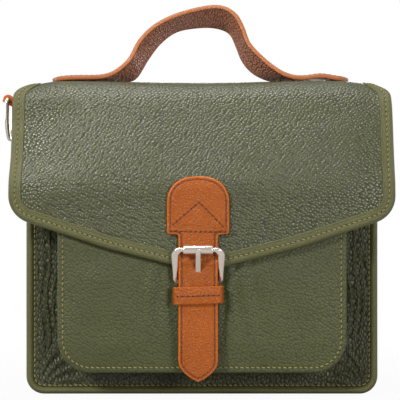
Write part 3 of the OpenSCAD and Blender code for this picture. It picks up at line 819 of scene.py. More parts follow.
def flap_place(x, b, h):
    """Puts flap pattern point (x, b = -t) at height h over the leather.

    Soft moves along the normal: the sides droop by 3 mm on top and curl in by
    2.2 mm in front, the left side curls by up to 4.2 mm just below the front
    bend, the middle sags by 1.3 mm on top and swells by 1.1 mm in front, and
    waves cross the front away from the strap.
    """
    x, b = both(x, b)
    t = -b
    y = np.interp(t, CURVE_T, CURVE_Y)
    z = np.interp(t, CURVE_T, CURVE_Z)
    a = np.interp(t, CURVE_T, CURVE_A)
    side = np.abs(x)
    top = smooth(2, 26, t) * (1 - smooth(60, 96, t))
    front = smooth(86, 128, t)
    quiet = 1 - bump(x, sizes().strap_x, 26) * smooth(128, 146, t)
    d = -3.0 * smooth(90, 122, side) ** 1.4 * top
    d = d - 1.3 * bump(x, -6.0, 62) * top
    d = d - 2.2 * smooth(98, 128, side) * front
    d = d - 4.2 * smooth(64, 125, -x) * smooth(76, 100, t) * (1 - smooth(118, 142, t))
    d = d + 1.1 * (1 - (x / 127.0) ** 2) * smooth(92, 118, t) * (1 - smooth(135, 160, t))
    d = d + 0.5 * ripple(x, t, 3.0, 95.0) * smooth(70, 100, t) * quiet
    d = d + 0.35 * ripple(x, t, 8.0, 38.0) * smooth(90, 120, side) * quiet
    g = h + d
    return np.stack([x, y + np.cos(a) * g, z + np.sin(a) * g], -1)


def flap_outline(s):
    """Flap pattern outline as its four sides, clockwise with the back on top."""
    low, slope, side = -flap_t([POINT_Z, SLOPE_Z, SIDE_Z])
    half = [(s.flap_top, -61.0, 8), (s.flap, -75.0, 15), (s.flap, side, 18), (s.flap / 2, slope, 150)]
    corners = [(-s.flap_top, -TOP_MEETS_BACK, 0), (s.flap_top, -TOP_MEETS_BACK, 0)]
    corners += half + [(0, low, 40)] + [(-x, y, r) for x, y, r in half[::-1]]
    steps = 16
    o = rounded(corners, closed=True, steps=steps)
    right_end = 2 + 2 * steps + steps // 2
    left_start = 2 + 6 * steps + steps // 2
    return o[:2], o[1:right_end + 1], o[right_end:left_start + 1], np.concatenate([o[left_start:], o[:1]])


def flap_sheet(sides, nu, nv, thick, inset):
    """Leather over lining inside four sides of pattern: olive outside, cloth inside."""
    shape = Shape()
    prof = [(inset, 0.0), (inset - 0.5, -0.4), (inset - 0.6, -thick / 2), (inset, -thick)]
    shape.plate(four_sides(*sides, nu, nv), nu, nv, prof, flap_place, back=1)
    return shape


def stitch_line(shape, path, place, h, pitch, way=1.0, **sewing):
    """Stitches along a pattern path at height h, out of the sheet's face or, with way -1, its back."""
    normal = way * normals_of(place, path[:, 0], path[:, 1])
    shape.stitches(place(path[:, 0], path[:, 1], h), normal, pitch, **sewing)


def flap_front_pieces(s):
    """Sheet, bound edge and stitches from the top of the flap to its point."""
    sides = flap_outline(s)
    flap_sheet(sides, 121, 111, s.flap_thick, 0.8).make(
        "flap_leather", ["olive", "lining"], "olive_leather", bend=FRONT_BEND,
        replaces=("flap_top_leather", "flap_top_lining", "flap_front_leather", "flap_front_lining"))
    _, right, bottom, left = sides
    path = resample(np.concatenate([right, bottom[1:], left[1:]]), 520)
    strip = Shape()
    strip.edging(path, BIND, flap_place)
    strip.make("flap_binding", ["edge"], "edge_leather", bend=FRONT_BEND,
               replaces=("flap_front_binding", "flap_top_binding"))
    seam = path + inward(path, False) * BIND_SEAM
    sewn = Shape()
    stitch_line(sewn, seam, flap_place, 0.45, s.pitch)
    stitch_line(sewn, seam, flap_place, -3.75, s.pitch, way=-1.0)
    sewn.make("flap_stitches", ["thread"], "edge_leather", bend=FRONT_BEND)


def flap_back_pieces(s):
    """Sheet from the back seam over the back bend, its bound sides and two seam rows."""
    top, seam = s.flap_top, s.panel - 0.5
    c = rounded([(-seam, SEAM_RUN, 5), (seam, SEAM_RUN, 5), (seam, 7, 10), (top, -4, 14),
                 (top, -TOP_MEETS_BACK, 0), (-top, -TOP_MEETS_BACK, 0), (-top, -4, 14), (-seam, 7, 10)],
                closed=True, steps=8)
    sides = c[4:12], c[11:33], c[32:34], np.concatenate([c[33:], c[:5]])
    flap_sheet(sides, 91, 41, s.flap_thick, 0.6).make(
        "flap_back_leather", ["olive", "lining"], "olive_leather", bend=BACK_BEND, replaces=("flap_seam",))
    strip = Shape()
    sewn = Shape()
    right = resample([(seam, 6.5), (seam + 1.2, 4.0), (seam + 3.6, 0.4), (top - 0.9, -3.5), (top, -8),
                      (top, -TOP_MEETS_BACK)], 40)
    for path in (right, (right * [-1, 1])[::-1]):
        strip.edging(path, BIND, flap_place)
        stitch_line(sewn, path + inward(path, False) * BIND_SEAM, flap_place, 0.45, s.pitch)
    strip.make("flap_back_binding", ["edge"], "edge_leather", bend=BACK_BEND)
    x = np.linspace(-seam + 4, seam - 4, 200)
    for inset in (3.2, 17.5):
        row = np.stack([x, np.full_like(x, SEAM_RUN - inset)], 1)
        stitch_line(sewn, row, flap_place, 0.05, s.pitch)
    sewn.make("flap_back_stitches", ["thread"], "edge_leather", bend=BACK_BEND)


class BAG_OT_flap(bpy.types.Operator):
    """Flap: one sheet from the back seam over the top, with its bound edge and stitches"""
    bl_idname = "bag.flap"
    bl_label = "Build Flap"

    def execute(self, context):
        s = sizes()
        flap_front_pieces(s)
        flap_back_pieces(s)
        return {'FINISHED'}


# Handle
HANDLE_Z = joint_mm("handle_lean")[2]
FLAP_TOP_Z = box_mm("flap_top_leather")[1][2]
HANDLE_T = 38.5
HANDLE_LEAN = np.tan(np.radians(18))
HANDLE_BEND = ("flap_top", "handle", (0, 0, 216.5), (0, 0, 231.0))

# Front and back edge of the arch as (x, share of the rise)
HANDLE_FRONT = [(-104, 0), (-90, .002), (-77, .01), (-66, .045), (-57.5, .13), (-49.5, .287),
                (-43, .53), (-32.5, .735), (-17, .888), (3, .992), (15, .99), (23.5, .883),
                (28.3, .708), (32.5, .492), (41.5, .294), (52.5, .12), (62, .035), (72, .008),
                (88, .002), (102, 0)]
HANDLE_BACK = [(-104, 0), (-90, .002), (-76, .004), (-63, .012), (-53.5, .028), (-46.8, .085),
               (-38.7, .345), (-29.7, .577), (-17.5, .745), (1, .8), (14, .77), (21.5, .68),
               (25.8, .5), (29.5, .318), (35.5, .165), (43.8, .068), (54.5, .025), (69, .008),
               (88, .002), (102, 0)]


def handle_lines(s):
    """Middle line, half-width vectors, normals and distance to the nearer end of the handle.

    Both edges are Catmull-Rom curves that lie on the flap at their ends. The front edge
    leans back with its height, and the back edge stays one width away from it.
    """
    k = np.concatenate([HANDLE_FRONT, HANDLE_BACK], 1) * [1, s.rise, 1, s.rise]
    x, h, xb, hb = np.maximum(resample(catmull(k, 12), 320), [-np.inf, 0, -np.inf, 0]).T
    lie = flap_place(x, np.full_like(x, -HANDLE_T), 0.0)[:, 2] - FLAP_TOP_Z
    low = (1 - smooth(0, 8, h)) * lie + 1.9 * bump(x, 82, 9) + 0.9 * bump(x, -84, 14)
    front = np.stack([x, -s.handle / 2 + h * HANDLE_LEAN, HANDLE_Z + h + low], 1)
    run = np.sqrt(s.handle ** 2 - (h - hb) ** 2 - (x - xb) ** 2)
    back = np.stack([xb, front[:, 1] + run, HANDLE_Z + hb + low], 1)
    mid = 0.5 * (front + back)
    side = 0.5 * (back - front)
    normal = unit(np.cross(np.gradient(mid, axis=0), side))
    return mid, side, normal, np.minimum(x - x[0], x[-1] - x)


class BAG_OT_handle(bpy.types.Operator):
    """Handle: one strap sewn flat at both ends, arched and leaning back between them"""
    bl_idname = "bag.handle"
    bl_label = "Build Handle"

    def execute(self, context):
        s = sizes()
        mid, side, normal, end = handle_lines(s)
        tip = round_end(end, 9.0, 0.02)
        wide = side * tip[:, None]
        n = 13
        across = np.linspace(-0.93, 0.93, n)
        up = 1.7 + 0.35 * (1 - across ** 2)
        a = np.linspace(0, np.pi, 9)[1:-1]
        cap = np.stack([0.93 + 0.07 * np.sin(a), 1.7 * np.cos(a)], 1)
        loop = np.concatenate([np.stack([across, up], 1), cap, np.stack([across[::-1], 0.5 - up[::-1]], 1),
                               (cap * [-1, 1])[::-1]])
        mats = np.zeros(len(loop), int)
        # The underside takes the under finish, whose colour is lightened as painted light against the shade
        # beneath the arch.
        mats[n + len(cap):2 * n + len(cap) - 1] = 1
        thick = loop[None, :, 1:] * (0.75 + 0.25 * tip)[:, None, None]
        p = mid[:, None] + wide[:, None] * loop[None, :, :1] + normal[:, None] * thick
        strap = Shape()
        strap.grid(p, wrap_v=True, caps=True, mats=mats, edge=smooth(0.9, 0.99, np.abs(loop[:, 0])))
        strap.make("handle_strap", ["handle", "under"], "handle_leather", bend=HANDLE_BEND,
                   replaces=("handle_grip", "handle_root_left", "handle_root_right",
                             "handle_end_left", "handle_end_right"))
        sewn = Shape()
        inner = end > 5
        for c in (-0.80, 0.80):
            q = mid + wide * c + normal * 1.62
            sewn.stitches(q[inner], normal[inner], s.pitch, radius=0.38)
        c = np.linspace(-0.78, 0.78, 30)[:, None]
        front_x = (mid - side)[:, 0]
        for x in (-99.5, -70.0, 68.0, 97.5):
            i = int(np.argmin(np.abs(front_x - x)))
            q = mid[i] + wide[i] * c + normal[i] * 1.75
            sewn.stitches(q, np.broadcast_to(normal[i], q.shape), s.pitch, radius=0.38)
        sewn.make("handle_stitches", ["thread_tan"], "handle_leather", bend=HANDLE_BEND)
        return {'FINISHED'}


# Body
RIM_LOW = 0.3
RIM_R = 12.0
RIM_SEAM = 5.9
HEM_IN = 1.1

# Bound edge of the body as (inset, height over the panel's face)
RIM = [(1.9, -5.6), (0.7, -5.0), (0.05, -3.4), (0.0, -1.5), (0.35, 0.3), (1.1, 1.6), (2.2, 2.3),
       (3.3, 2.15), (4.2, 1.4), (4.8, 0.5), (5.1, -0.3), (4.7, -1.2), (3.9, -2.6), (3.2, -4.8)]

# Sheet edges as (inset, height)
PANEL_SHEET = [(1.2, 0.0), (0.4, -0.3), (0.2, -1.1), (0.6, -2.0), (1.4, -2.2)]
LINING_SHEET = [(0.8, 0.0), (0.1, -0.2), (0.1, -0.5), (0.8, -0.7)]
POCKET_SHEET = [(5.6, 0.0), (4.6, 0.0), (4.0, -0.06), (3.5, -0.2), (3.0, -0.06), (2.4, 0.02), (1.3, 0.0),
                (0.45, -0.3), (0.0, -1.0), (0.3, -1.8), (1.2, -2.2), (5.6, -2.2)]


def panel_place(sign, seed, s):
    """Place function of the front (sign -1) or back (+1) panel at +-depth.

    The panel swells 1.2 mm in its middle. Long wavy creases, sin(1.35 x') with
    a wandering x', run up both sides, and creases fan out of the lower corners
    as sin(24 phi) about the corner. The back is less creased than the front.
    """
    crease = 1.0 if sign < 0 else 0.3

    def place(x, z, h):
        x, z = both(x, z)
        side = np.abs(x)
        d = 1.2 * (1 - (x / 113.0) ** 2) * np.sin(np.pi * np.clip(z / s.wall, 0, 1))
        way = side + 1.3 * np.sin(z / 17.0 + seed) + 0.8 * np.sin(z / 7.1 + 2 * seed)
        line = np.sin(way * 1.35) * (0.65 + 0.35 * np.sin(z / 23.0 + way))
        d = d + crease * line * bump(side, 104, 8) * smooth(22, 50, z)
        r = np.hypot(z - 2.0, 114.0 - side)
        phi = np.arctan2(z - 2.0, 114.0 - side)
        fan = np.sin(phi * 24.0 + 0.9 * np.sin(r / 4.0)) * bump(r, 20, 13)
        d = d + 1.2 * crease * fan * smooth(0.05, 0.25, phi) * (1 - smooth(1.0, 1.4, phi))
        sewn_down = smooth(0, 6, 115.0 - side) * smooth(4.6, 10, z)
        d = (d + 0.5 * ripple(x, z, seed, 60.0)) * sewn_down
        return np.stack([x, sign * (s.depth + h + d), z], -1)

    return place


def rim_place(sign, s):
    """Place function of a bound edge: in the panel's plane, a little wavy."""

    def place(x, z, h):
        x, z = both(x, z)
        d = 0.35 * ripple(x, z, 2.0 + sign, 70.0) * smooth(4, 16, z)
        return np.stack([x, sign * (s.depth + h + d), z], -1)

    return place


def u_path(half, low, top, r, n):
    """U-shaped path (x, z), down the right side, along the bottom, up the left."""
    return resample(rounded([(half, top, 0), (half, low, r), (-half, low, r), (-half, top, 0)], steps=14), n)


def u_loop(half, low, top, r, nu, nv):
    """The same outline closed at the top, as a loop for a plate."""
    corners = [(-half, top, 0), (half, top, 0), (half, low, r), (-half, low, r)]
    o = rounded(corners, closed=True, steps=17)
    return four_sides(o[:2], o[1:11], o[10:28], np.concatenate([o[27:], o[:1]]), nu, nv)


def band(shape, path, y0, y1, thick, swell, n=25):
    """A closed band of leather on a U path: across it v runs -1..1 from y0 to y1.

    swell(x, z, v) lifts it outwards.
    """
    off = -inward(path, False)
    v = np.linspace(-1, 1, n)
    v = np.concatenate([v, v[::-1]])
    h = np.repeat([0.0, -thick], n)
    x = path[:, None, 0]
    z = path[:, None, 1]
    g = swell(x, z, v[None]) + h
    y = 0.5 * (y0 + y1) + 0.5 * (y1 - y0) * v + 0 * x
    p = np.stack([x + off[:, None, 0] * g, y, z + off[:, None, 1] * g], -1)
    shape.grid(p, wrap_v=True, caps=True)


def hem(shape, x, y, z, ring, wave=0.0):
    """A folded strip along x: the closed (y, z) ring is carried along, moved by wave in y."""
    x, wave = both(x, wave)
    p = np.broadcast_arrays(x[:, None], y + ring[:, 0] + wave[:, None], z + ring[:, 1])
    shape.grid(np.stack(p, -1), wrap_v=True, caps=True)


def lip(w, rise):
    """Half ellipse over a hem, from its front to its back."""
    a = np.linspace(0, np.pi, 12)
    return np.stack([-w * np.cos(a), rise * np.sin(a)], 1)


def facing(axis, way, n):
    """The direction of axis 0, 1 or 2, or with way -1 its opposite, for n places."""
    return np.tile(way * np.eye(3)[axis], (n, 1))


def panel_pieces(name, sign, seed, finish, s):
    """A panel, its bound edge and the stitches beside that."""
    sheet = Shape()
    loop = u_loop(s.panel + 2.4, 4.4, s.wall, 8.0, 261, 121)
    sheet.plate(loop, 261, 121, PANEL_SHEET, panel_place(sign, seed, s))
    sheet.make(name + "_leather", [finish], "olive_leather", "bag_body", replaces=(name + "_panel",))
    path = u_path(s.rim, RIM_LOW, s.wall, RIM_R, 330)
    place = rim_place(sign, s)
    strip = Shape()
    strip.edging(path, RIM, place)
    strip.make(name + "_edging", ["edge"], "edge_leather", "bag_body", replaces=(name + "_rim",))
    q = path + inward(path, False) * RIM_SEAM
    sewn = Shape()
    sewn.stitches(place(q[:, 0], q[:, 1], 0.1), facing(1, sign, len(q)), s.pitch)
    sewn.make(name + "_edge_stitches", ["thread"], "edge_leather", "bag_body")


def gusset_piece(s):
    """The strip that makes both sides and the base; its sides swell by 1.9 mm."""

    def swell(x, z, v):
        g = 1.9 * (1 - v * v) * smooth(10, 60, z) * (1 - smooth(120, 166, z))
        wave = 0.3 * ripple(22 * v + np.sign(x) * 60, z, 4.0, 50.0) * smooth(8, 40, z)
        return g + wave * (1 - v ** 4) * (1 - smooth(150, 168, z))

    low, high = box_mm("gusset")
    strip = Shape()
    band(strip, u_path(high[0], low[2], s.wall, RIM_R, 260), low[1] + 0.1, high[1] - 0.1, 2.2, swell)
    strip.make("gusset_leather", ["olive"], "olive_leather", "bag_body", replaces=("gusset",))


def lining_place(sign, half, floor, face):
    """Place function of the lining's front (sign -1) or back (+1) sheet at +-face.

    It hangs in soft waves, up to about 2 mm inwards between its seams.
    """

    def place(x, z, h):
        x, z = both(x, z)
        d = 1.2 * (ripple(x, z, 6.0 + sign, 80.0) + 0.8) * smooth(0, 14, half - np.abs(x))
        d = d * smooth(0, 16, z - floor) * (1 - smooth(170, 192, z))
        return np.stack([x, sign * (face + h - d), z], -1)

    return place


def lining_piece(s):
    """The lining: a band inside the gusset, which sags by 0.8 mm, and two hanging sheets."""

    def sag(x, z, v):
        return -0.8 * (1 - v * v) * smooth(6, 40, z)

    low, high = box_mm("lining")
    half, floor, top = high[0], low[2], s.wall - 2
    cloth = Shape()
    band(cloth, u_path(half, floor, top, 9.8, 200), low[1] + 0.3, high[1] - 0.3, 0.7, sag)
    loop = u_loop(half - 0.3, floor + 0.3, top, 9.6, 61, 61)
    for sign in (-1, 1):
        cloth.plate(loop, 61, 61, LINING_SHEET, lining_place(sign, half, floor, high[1] - 0.9))
    cloth.make("lining_cloth", ["lining"], "lining_cloth", "bag_body", replaces=("lining",))


def mouth_pieces(s):
    """The hem over the front panel's mouth and its two stitch rows."""
    ring = np.concatenate([[[-2.5, -12.6], [-2.75, -12.0], [-2.5, -6], [-2.35, -1]], lip(2.35, 1.5),
                           [[2.35, -1], [2.5, -6], [2.7, -12.0], [2.45, -12.6], [1.25, -12.4],
                            [1.2, -0.6], [-1.2, -0.6], [-1.25, -12.4]]])
    n = 90
    x = np.linspace(-s.panel + 0.5, s.panel - 0.5, n)
    y = HEM_IN - s.depth
    z = s.wall + 0.4
    wave = 0.25 * ripple(x, 0 * x, 2.0, 60.0)
    strip = Shape()
    hem(strip, x, y, z, ring, wave)
    strip.make("mouth_binding", ["edge"], "edge_leather", "bag_body", replaces=("mouth_hem",))
    sewn = Shape()
    for dy, way in ((-2.68, -1), (2.62, 1)):
        q = np.stack([x, y + dy + wave, np.full(n, z - 9.5)], 1)
        sewn.stitches(q, facing(1, way, n), s.pitch)
    sewn.make("mouth_stitches", ["thread"], "edge_leather", "bag_body")


class BAG_OT_body(bpy.types.Operator):
    """Body: front and back panels, the gusset, bound edges, lining, hem and stitches"""
    bl_idname = "bag.body"
    bl_label = "Build Body"

    def execute(self, context):
        s = sizes()
        # The front panel takes the darkened olive finish, which is painted shade; the back panel has the
        # plain olive.
        panel_pieces("front", -1, 1.0, "olive_panel", s)
        panel_pieces("back", 1, 5.0, "olive", s)
        gusset_piece(s)
        lining_piece(s)
        mouth_pieces(s)
        return {'FINISHED'}


# Front pocket
POCKET_R = 22.0

# Creases beside the strap as (distance, slant, width, height)
POCKET_CREASES = [(16.5, 0.05, 1.7, -0.8), (20, 0.10, 1.8, 0.6), (24, 0.16, 2.2, -0.9),
                  (29, 0.24, 2.6, 0.6), (35, 0.36, 3.2, -0.6), (42, 0.5, 4.0, 0.4)]


def pocket_place(x, z, h):
    """Pocket face: cheeks swell by 1.7 mm beside the strap, below the flap's edge.

    Six wavy creases a side fan out downwards from the strap, as Gauss bumps across their
    slanting lines, and soft waves cross the cheeks. All of it fades to nothing at the edge.
    """
    s = sizes()
    x, z = both(x, z)
    u = np.abs(x - s.strap_x)
    bare = (1 - smooth(86, 108, z + 0.14 * np.abs(x))) * smooth(18, 40, z)
    d = 1.7 * bump(u, 52, 34) * bare
    for away, slant, w, high in POCKET_CREASES:
        line = away + 0.7 * np.sin(z / 6.3 + away) + slant * (95 - z) * 0.35
        d = d + high * bump(u - line, 0, w) * bare * smooth(30, 62, z)
    d = d + 0.5 * ripple(x, z, 7.0, 55.0) * bare * smooth(14, 24, u)
    y = s.pocket_y - h - d * smooth(0, 10, s.pocket - np.abs(x))
    return np.stack([x, y, z], -1)


def pocket_gusset_piece():
    """The pocket's gusset, which sags inwards by 2.2 mm between its seams."""

    def sag(x, z, v):
        return (-2.2 * (1 - v * v) + 0.5 * ripple(12 * v, z + x, 3.0, 40.0)) * (1 - v ** 6)

    low, high = box_mm("pocket_gusset")
    strip = Shape()
    path = u_path(high[0], low[2], high[2], POCKET_R - 1.5, 200)
    band(strip, path, low[1] + 0.1, high[1] - 0.3, 1.8, sag, n=17)
    strip.make("pocket_side", ["olive"], "olive_leather", "bag_body", replaces=("pocket_gusset",))


def pocket_hem_pieces(s):
    """The hem over the pocket's mouth and its two stitch rows."""
    ring = np.concatenate([[[-2.1, -12.4], [-2.3, -11.8], [-2.1, -3]], lip(2.1, 1.2),
                           [[2.1, -3], [2.3, -11.8], [2.1, -12.4], [1.3, -12.2], [1.25, -1],
                            [-1.25, -1], [-1.3, -12.2]]])
    n = 80
    half = box_mm("pocket_hem")[1][0]
    x = np.linspace(-half, half, n)
    y = s.pocket_y + HEM_IN
    strip = Shape()
    hem(strip, x, y, s.pocket_top - 0.2, ring)
    strip.make("pocket_binding", ["edge"], "edge_leather", "bag_body", replaces=("pocket_hem",))
    sewn = Shape()
    for way in (-1, 1):
        q = np.stack([x, np.full(n, y + 2.25 * way), np.full(n, s.pocket_top - 9.8)], 1)
        sewn.stitches(q, facing(1, way, n), s.pitch)
    sewn.make("pocket_hem_stitches", ["thread"], "edge_leather", "bag_body")


class BAG_OT_pocket(bpy.types.Operator):
    """Front pocket: its swelling face, gusset, hem and edge stitches"""
    bl_idname = "bag.pocket"
    bl_label = "Build Pocket"

    def execute(self, context):
        s = sizes()
        face = Shape()
        loop = u_loop(s.pocket, s.pocket_low, s.pocket_top - 1.5, POCKET_R, 141, 101)
        face.plate(loop, 141, 101, POCKET_SHEET, pocket_place)
        face.make("pocket_leather", ["olive_calm"], "olive_leather", "bag_body", replaces=("pocket_front",))
        path = u_path(s.pocket, s.pocket_low, s.pocket_top - 3, POCKET_R, 300)
        q = path + inward(path, False) * 3.5
        sewn = Shape()
        sewn.stitches(pocket_place(q[:, 0], q[:, 1], -0.16), facing(1, -1, len(q)), s.pitch)
        sewn.make("pocket_stitches", ["thread"], "olive_leather", "bag_body")
        pocket_gusset_piece()
        pocket_hem_pieces(s)
        return {'FINISHED'}


# Closure
TONGUE_FACE_Y = -61.15
HEAD_HALF = 20.25
HEAD_Z = 129.5
HEAD_RISE = 16.5
NECK_Z = 109.0
TONGUE_END_Z = 30.0
KEEPER_Z = 69.7
KEEPER_TILT = 0.035
KEEPER_FRONT_Y = -62.5
KEEPER_BACK_Y = -55.95
CHAPE_Y = -57.68
CURL_R = 2.2
TAN_PITCH = 0.94
TAN_THREAD = 0.36

# Edge of the strap as (inset, height), with a groove for its stitches
STRAP_SHEET = [(4.4, 0.0), (3.1, 0.06), (2.6, -0.1), (2.2, -0.3), (1.8, -0.1), (1.0, 0.02),
               (0.4, -0.12), (0.08, -0.55), (0.0, -1.4), (0.1, -2.3), (0.5, -2.85), (3.0, -3.0)]

# Sewn lines over the head as (x from the strap's middle, z)
HEAD_FOOT = [(-17.6, 111.4), (0, 111.0), (17.6, 110.8)]
HEAD_ARROW = [(-16.4, 115.6), (-8, 122.9), (0.6, 130.4), (8.4, 122.4), (16.1, 114.4)]


def strap_place(x, z, h):
    """Closure strap: on the flap's leather above z 113, a hanging flat tongue below z 105.

    h is 0 on the face and -3 on the back, 1.22 times that on the head and 0.95 times
    on the tongue. The tongue dips below the roller with a ridge under the dip, is
    pitted at the prong's hole and creased below the keeper.
    """
    x, z = both(x, z)
    u = x - sizes().strap_x
    up = smooth(105.0, 113.0, z)[..., None]
    dome = 0.5 * (1 - (u / 22.0) ** 2) * smooth(112, 124, z)
    on = flap_place(x, -flap_t(z), 3.6 + dome + h * 1.22)
    d = -0.85 * bump(z, 95.2, 3.2) + 0.55 * bump(z + 0.02 * u, 90.6, 1.5)
    d = d - 0.6 * bump(z - 0.05 * u, 62.1, 0.9) + 0.35 * bump(z - 0.05 * u, 60.4, 1.0)
    d = d + 0.22 * (1 - (u / 12.7) ** 2) * (1 - smooth(58, 62, z)) + 0.18 * ripple(x, z, 1.0, 45.0)
    d = d - 1.7 * bump(u, 0, 2.3) * bump(z, 88.0, 2.6) * (h > -1.0)
    hang = np.stack([x, TONGUE_FACE_Y - d * (1 + h / 3.4) - h * 0.95, z], -1)
    return hang * (1 - up) + on * up


def strap_outline(s):
    """Closure strap outline: superellipse head, notched neck, tongue, ogive tip."""
    a = np.linspace(np.pi, 0, 41)
    power = 2.0 / 2.35
    head = np.stack([HEAD_HALF * np.sign(np.cos(a)) * np.abs(np.cos(a)) ** power,
                     HEAD_Z + HEAD_RISE * np.sin(a) ** power], 1)
    end = s.strap + 0.25
    side = rounded([(HEAD_HALF, HEAD_Z, 0), (HEAD_HALF + 0.05, NECK_Z + 0.6, 1.6),
                    (s.strap + 0.2, NECK_Z, 1.4), (s.strap, 90, 60), (end, TONGUE_END_Z, 0)], steps=8)
    side = np.concatenate([side, [(end, TONGUE_END_Z - 0.5)]])
    k = np.linspace(0, 1, 24)
    tip = np.stack([end * (1 - k ** 2.1) ** 0.9, TONGUE_END_Z - 2.0 - 14.6 * k ** 0.95], 1)
    mirror = [-1, 1]
    bottom = np.concatenate([side[-1:], tip, (tip * mirror)[-2::-1], side[-1:] * mirror])
    middle = [s.strap_x, 0.0]
    return head + middle, side + middle, bottom + middle, (side * mirror)[::-1] + middle


def strap_pieces(s):
    """The closure strap with its head, and the stitches round it and over the head."""
    sides = strap_outline(s)
    head, side, bottom, left = sides
    nu, nv = 45, 221
    bend = ("flap_front", "closure_strap", (s.strap_x, -61, 109.5), (s.strap_x, -61, 104.0))
    strap = Shape()
    strap.plate(four_sides(*sides, nu, nv), nu, nv, STRAP_SHEET, strap_place, fade=8.0)
    strap.make("closure_strap_leather", ["tan"], "tan_leather", bend=bend,
               replaces=("closure_tab", "strap_tongue"))
    rim = resample(np.concatenate([head, side[1:], bottom[1:], left[1:]]), 700)
    middle = [s.strap_x, 0.0]
    lines = [(rim + inward(rim, True) * 2.2, -0.26, True), (resample(HEAD_FOOT, 60) + middle, 0.0, False),
             (resample(HEAD_ARROW, 60) + middle, 0.0, False)]
    sewn = Shape()
    for path, h, closed in lines:
        n = normals_of(strap_place, path[:, 0], path[:, 1])
        n = n * np.sign(-n[:, 1:2])
        sewn.stitches(strap_place(path[:, 0], path[:, 1], h), n, s.pitch * TAN_PITCH, run=0.9,
                      radius=TAN_THREAD, closed=closed)
    sewn.make("closure_stitches", ["thread_tan"], "tan_leather", bend=bend)


def keeper_pieces(s):
    """The keeper loop round the strap and its stitch row; its front swells by 0.35 mm."""

    def swell(x):
        return 0.35 * (1 - (x / 16.0) ** 2)

    half, r = 15.7, 2.6
    c = rounded([(-half, KEEPER_FRONT_Y, r), (half, KEEPER_FRONT_Y, r), (half, KEEPER_BACK_Y, r),
                 (-half, KEEPER_BACK_Y, r)], closed=True, steps=8)
    c = ring_of(c, 160)
    y = c[:, 1] - swell(c[:, 0]) * (c[:, 1] < -60)
    path = np.stack([c[:, 0] + s.strap_x, y, KEEPER_Z + c[:, 0] * KEEPER_TILT], 1)
    prof = oblong(5.6, 0.9, 0.75)
    loop = Shape()
    loop.sweep(path, (0, 0, 1), prof, closed=True, edge=smooth(4.6, 5.5, np.abs(prof[:, 0])))
    loop.make("keeper_leather", ["tan"], "tan_leather", "strap_keeper", replaces=("strap_keeper",))
    n = 40
    x = np.linspace(-13.5, 13.5, n)
    y = KEEPER_FRONT_Y - swell(x) - 0.9
    path = np.stack([x + s.strap_x, y, KEEPER_Z - 0.2 + x * KEEPER_TILT], 1)
    sewn = Shape()
    sewn.stitches(path, facing(1, -1, n), s.pitch * TAN_PITCH, radius=TAN_THREAD)
    sewn.make("keeper_stitches", ["thread_tan"], "tan_leather", "strap_keeper")


def chape_piece(s):
    """The chape: a tail behind the strap and two tongues curled round the buckle's bar."""
    n = 30
    tail = np.stack([np.full(n, s.strap_x), np.full(n, CHAPE_Y), np.linspace(39.0, 74.0, n)], 1)
    strip = Shape()
    strip.sweep(tail, (1, 0, 0), oblong(10.5, 0.62, 0.5))
    a = np.radians(np.linspace(180, -140, 40))
    curl = np.stack([0 * a, BAR[1] + CURL_R * np.cos(a), BAR[2] + CURL_R * np.sin(a)], 1)
    lead = [(0, CHAPE_Y, 73.0), (0, CHAPE_Y + 0.08, 75.5), (0, CHAPE_Y + 0.23, 77.2)]
    path = resample(np.concatenate([lead, curl]), 60)
    for dx in (-7.0, 7.0):
        strip.sweep(path + [s.strap_x + dx, 0, 0], (1, 0, 0), oblong(3.5, 0.55, 0.4))
    strip.make("chape_leather", ["tan"], "tan_leather", "closure_strap", replaces=("chape",))


class BAG_OT_closure(bpy.types.Operator):
    """Closure: strap with its head, keeper, chape and their stitches"""
    bl_idname = "bag.closure"
    bl_label = "Build Closure"

    def execute(self, context):
        s = sizes()
        strap_pieces(s)
        keeper_pieces(s)
        chape_piece(s)
        return {'FINISHED'}


# Metal
WIRE_R = 1.45
RING_HALF = 13.95
RING_BELOW = 13.0
PRONG_START = 2.3
PRONG_END = 26.3
PRONG_TILT = np.radians(34.9)

# Roller's wall as (x, radius)
ROLLER_WALL = [(-9.7, 2.0), (-9.7, 2.65), (-9.45, 2.92), (-9.0, 3.0), (0, 3.0), (9.0, 3.0),
               (9.45, 2.92), (9.7, 2.65), (9.7, 2.0), (9.4, 1.75), (-9.4, 1.75)]


def buckle_piece(s):
    """Buckle frame: a rounded trapezoid from the bar to the roller, with wider, flatter legs."""
    v = ROLLER[1:] - BAR[1:]
    size = np.linalg.norm(v)
    v = v / size
    c = rounded([(-14.9, 0, 2.5), (14.9, 0, 2.5), (15.2, size, 4.6), (-15.2, size, 4.6)],
                closed=True, steps=12)
    c = ring_of(c, 240)
    ahead = unit(np.roll(c, -1, 0) - np.roll(c, 1, 0))
    out = np.stack([ahead[:, 1], -ahead[:, 0]], 1)

    def lay(q):
        return np.stack([q[:, 0], q[:, 1] * v[0], q[:, 1] * v[1]], 1)

    leg = smooth(10.5, 14.0, np.abs(c[:, 0]))
    wide = WIRE_R + leg * (0.25 + 0.75 * smooth(2, 20, c[:, 1]))
    wire_frame = Shape()
    wire_frame.sweep(lay(c) + [s.strap_x, BAR[1], BAR[2]], lay(out), oval(20, 2.5),
                     np.stack([wide, WIRE_R + leg * 0.15], 1), closed=True)
    wire_frame.make("buckle_wire", ["nickel"], "nickel", "closure_strap", replaces=("buckle_frame",))


def roller_piece(s):
    """Buckle roller: a tube turned about its axis."""
    k = np.linspace(0, 2 * np.pi, 48, endpoint=False)[:, None]
    x, r = np.array(ROLLER_WALL).T
    p = np.stack([s.strap_x + x + 0 * k, ROLLER[1] + r * np.cos(k), ROLLER[2] + r * np.sin(k)], -1)
    tube = Shape()
    tube.grid(p, wrap_u=True, wrap_v=True)
    tube.make("roller_sleeve", ["nickel"], "nickel", "buckle_roller", replaces=("buckle_roller",))


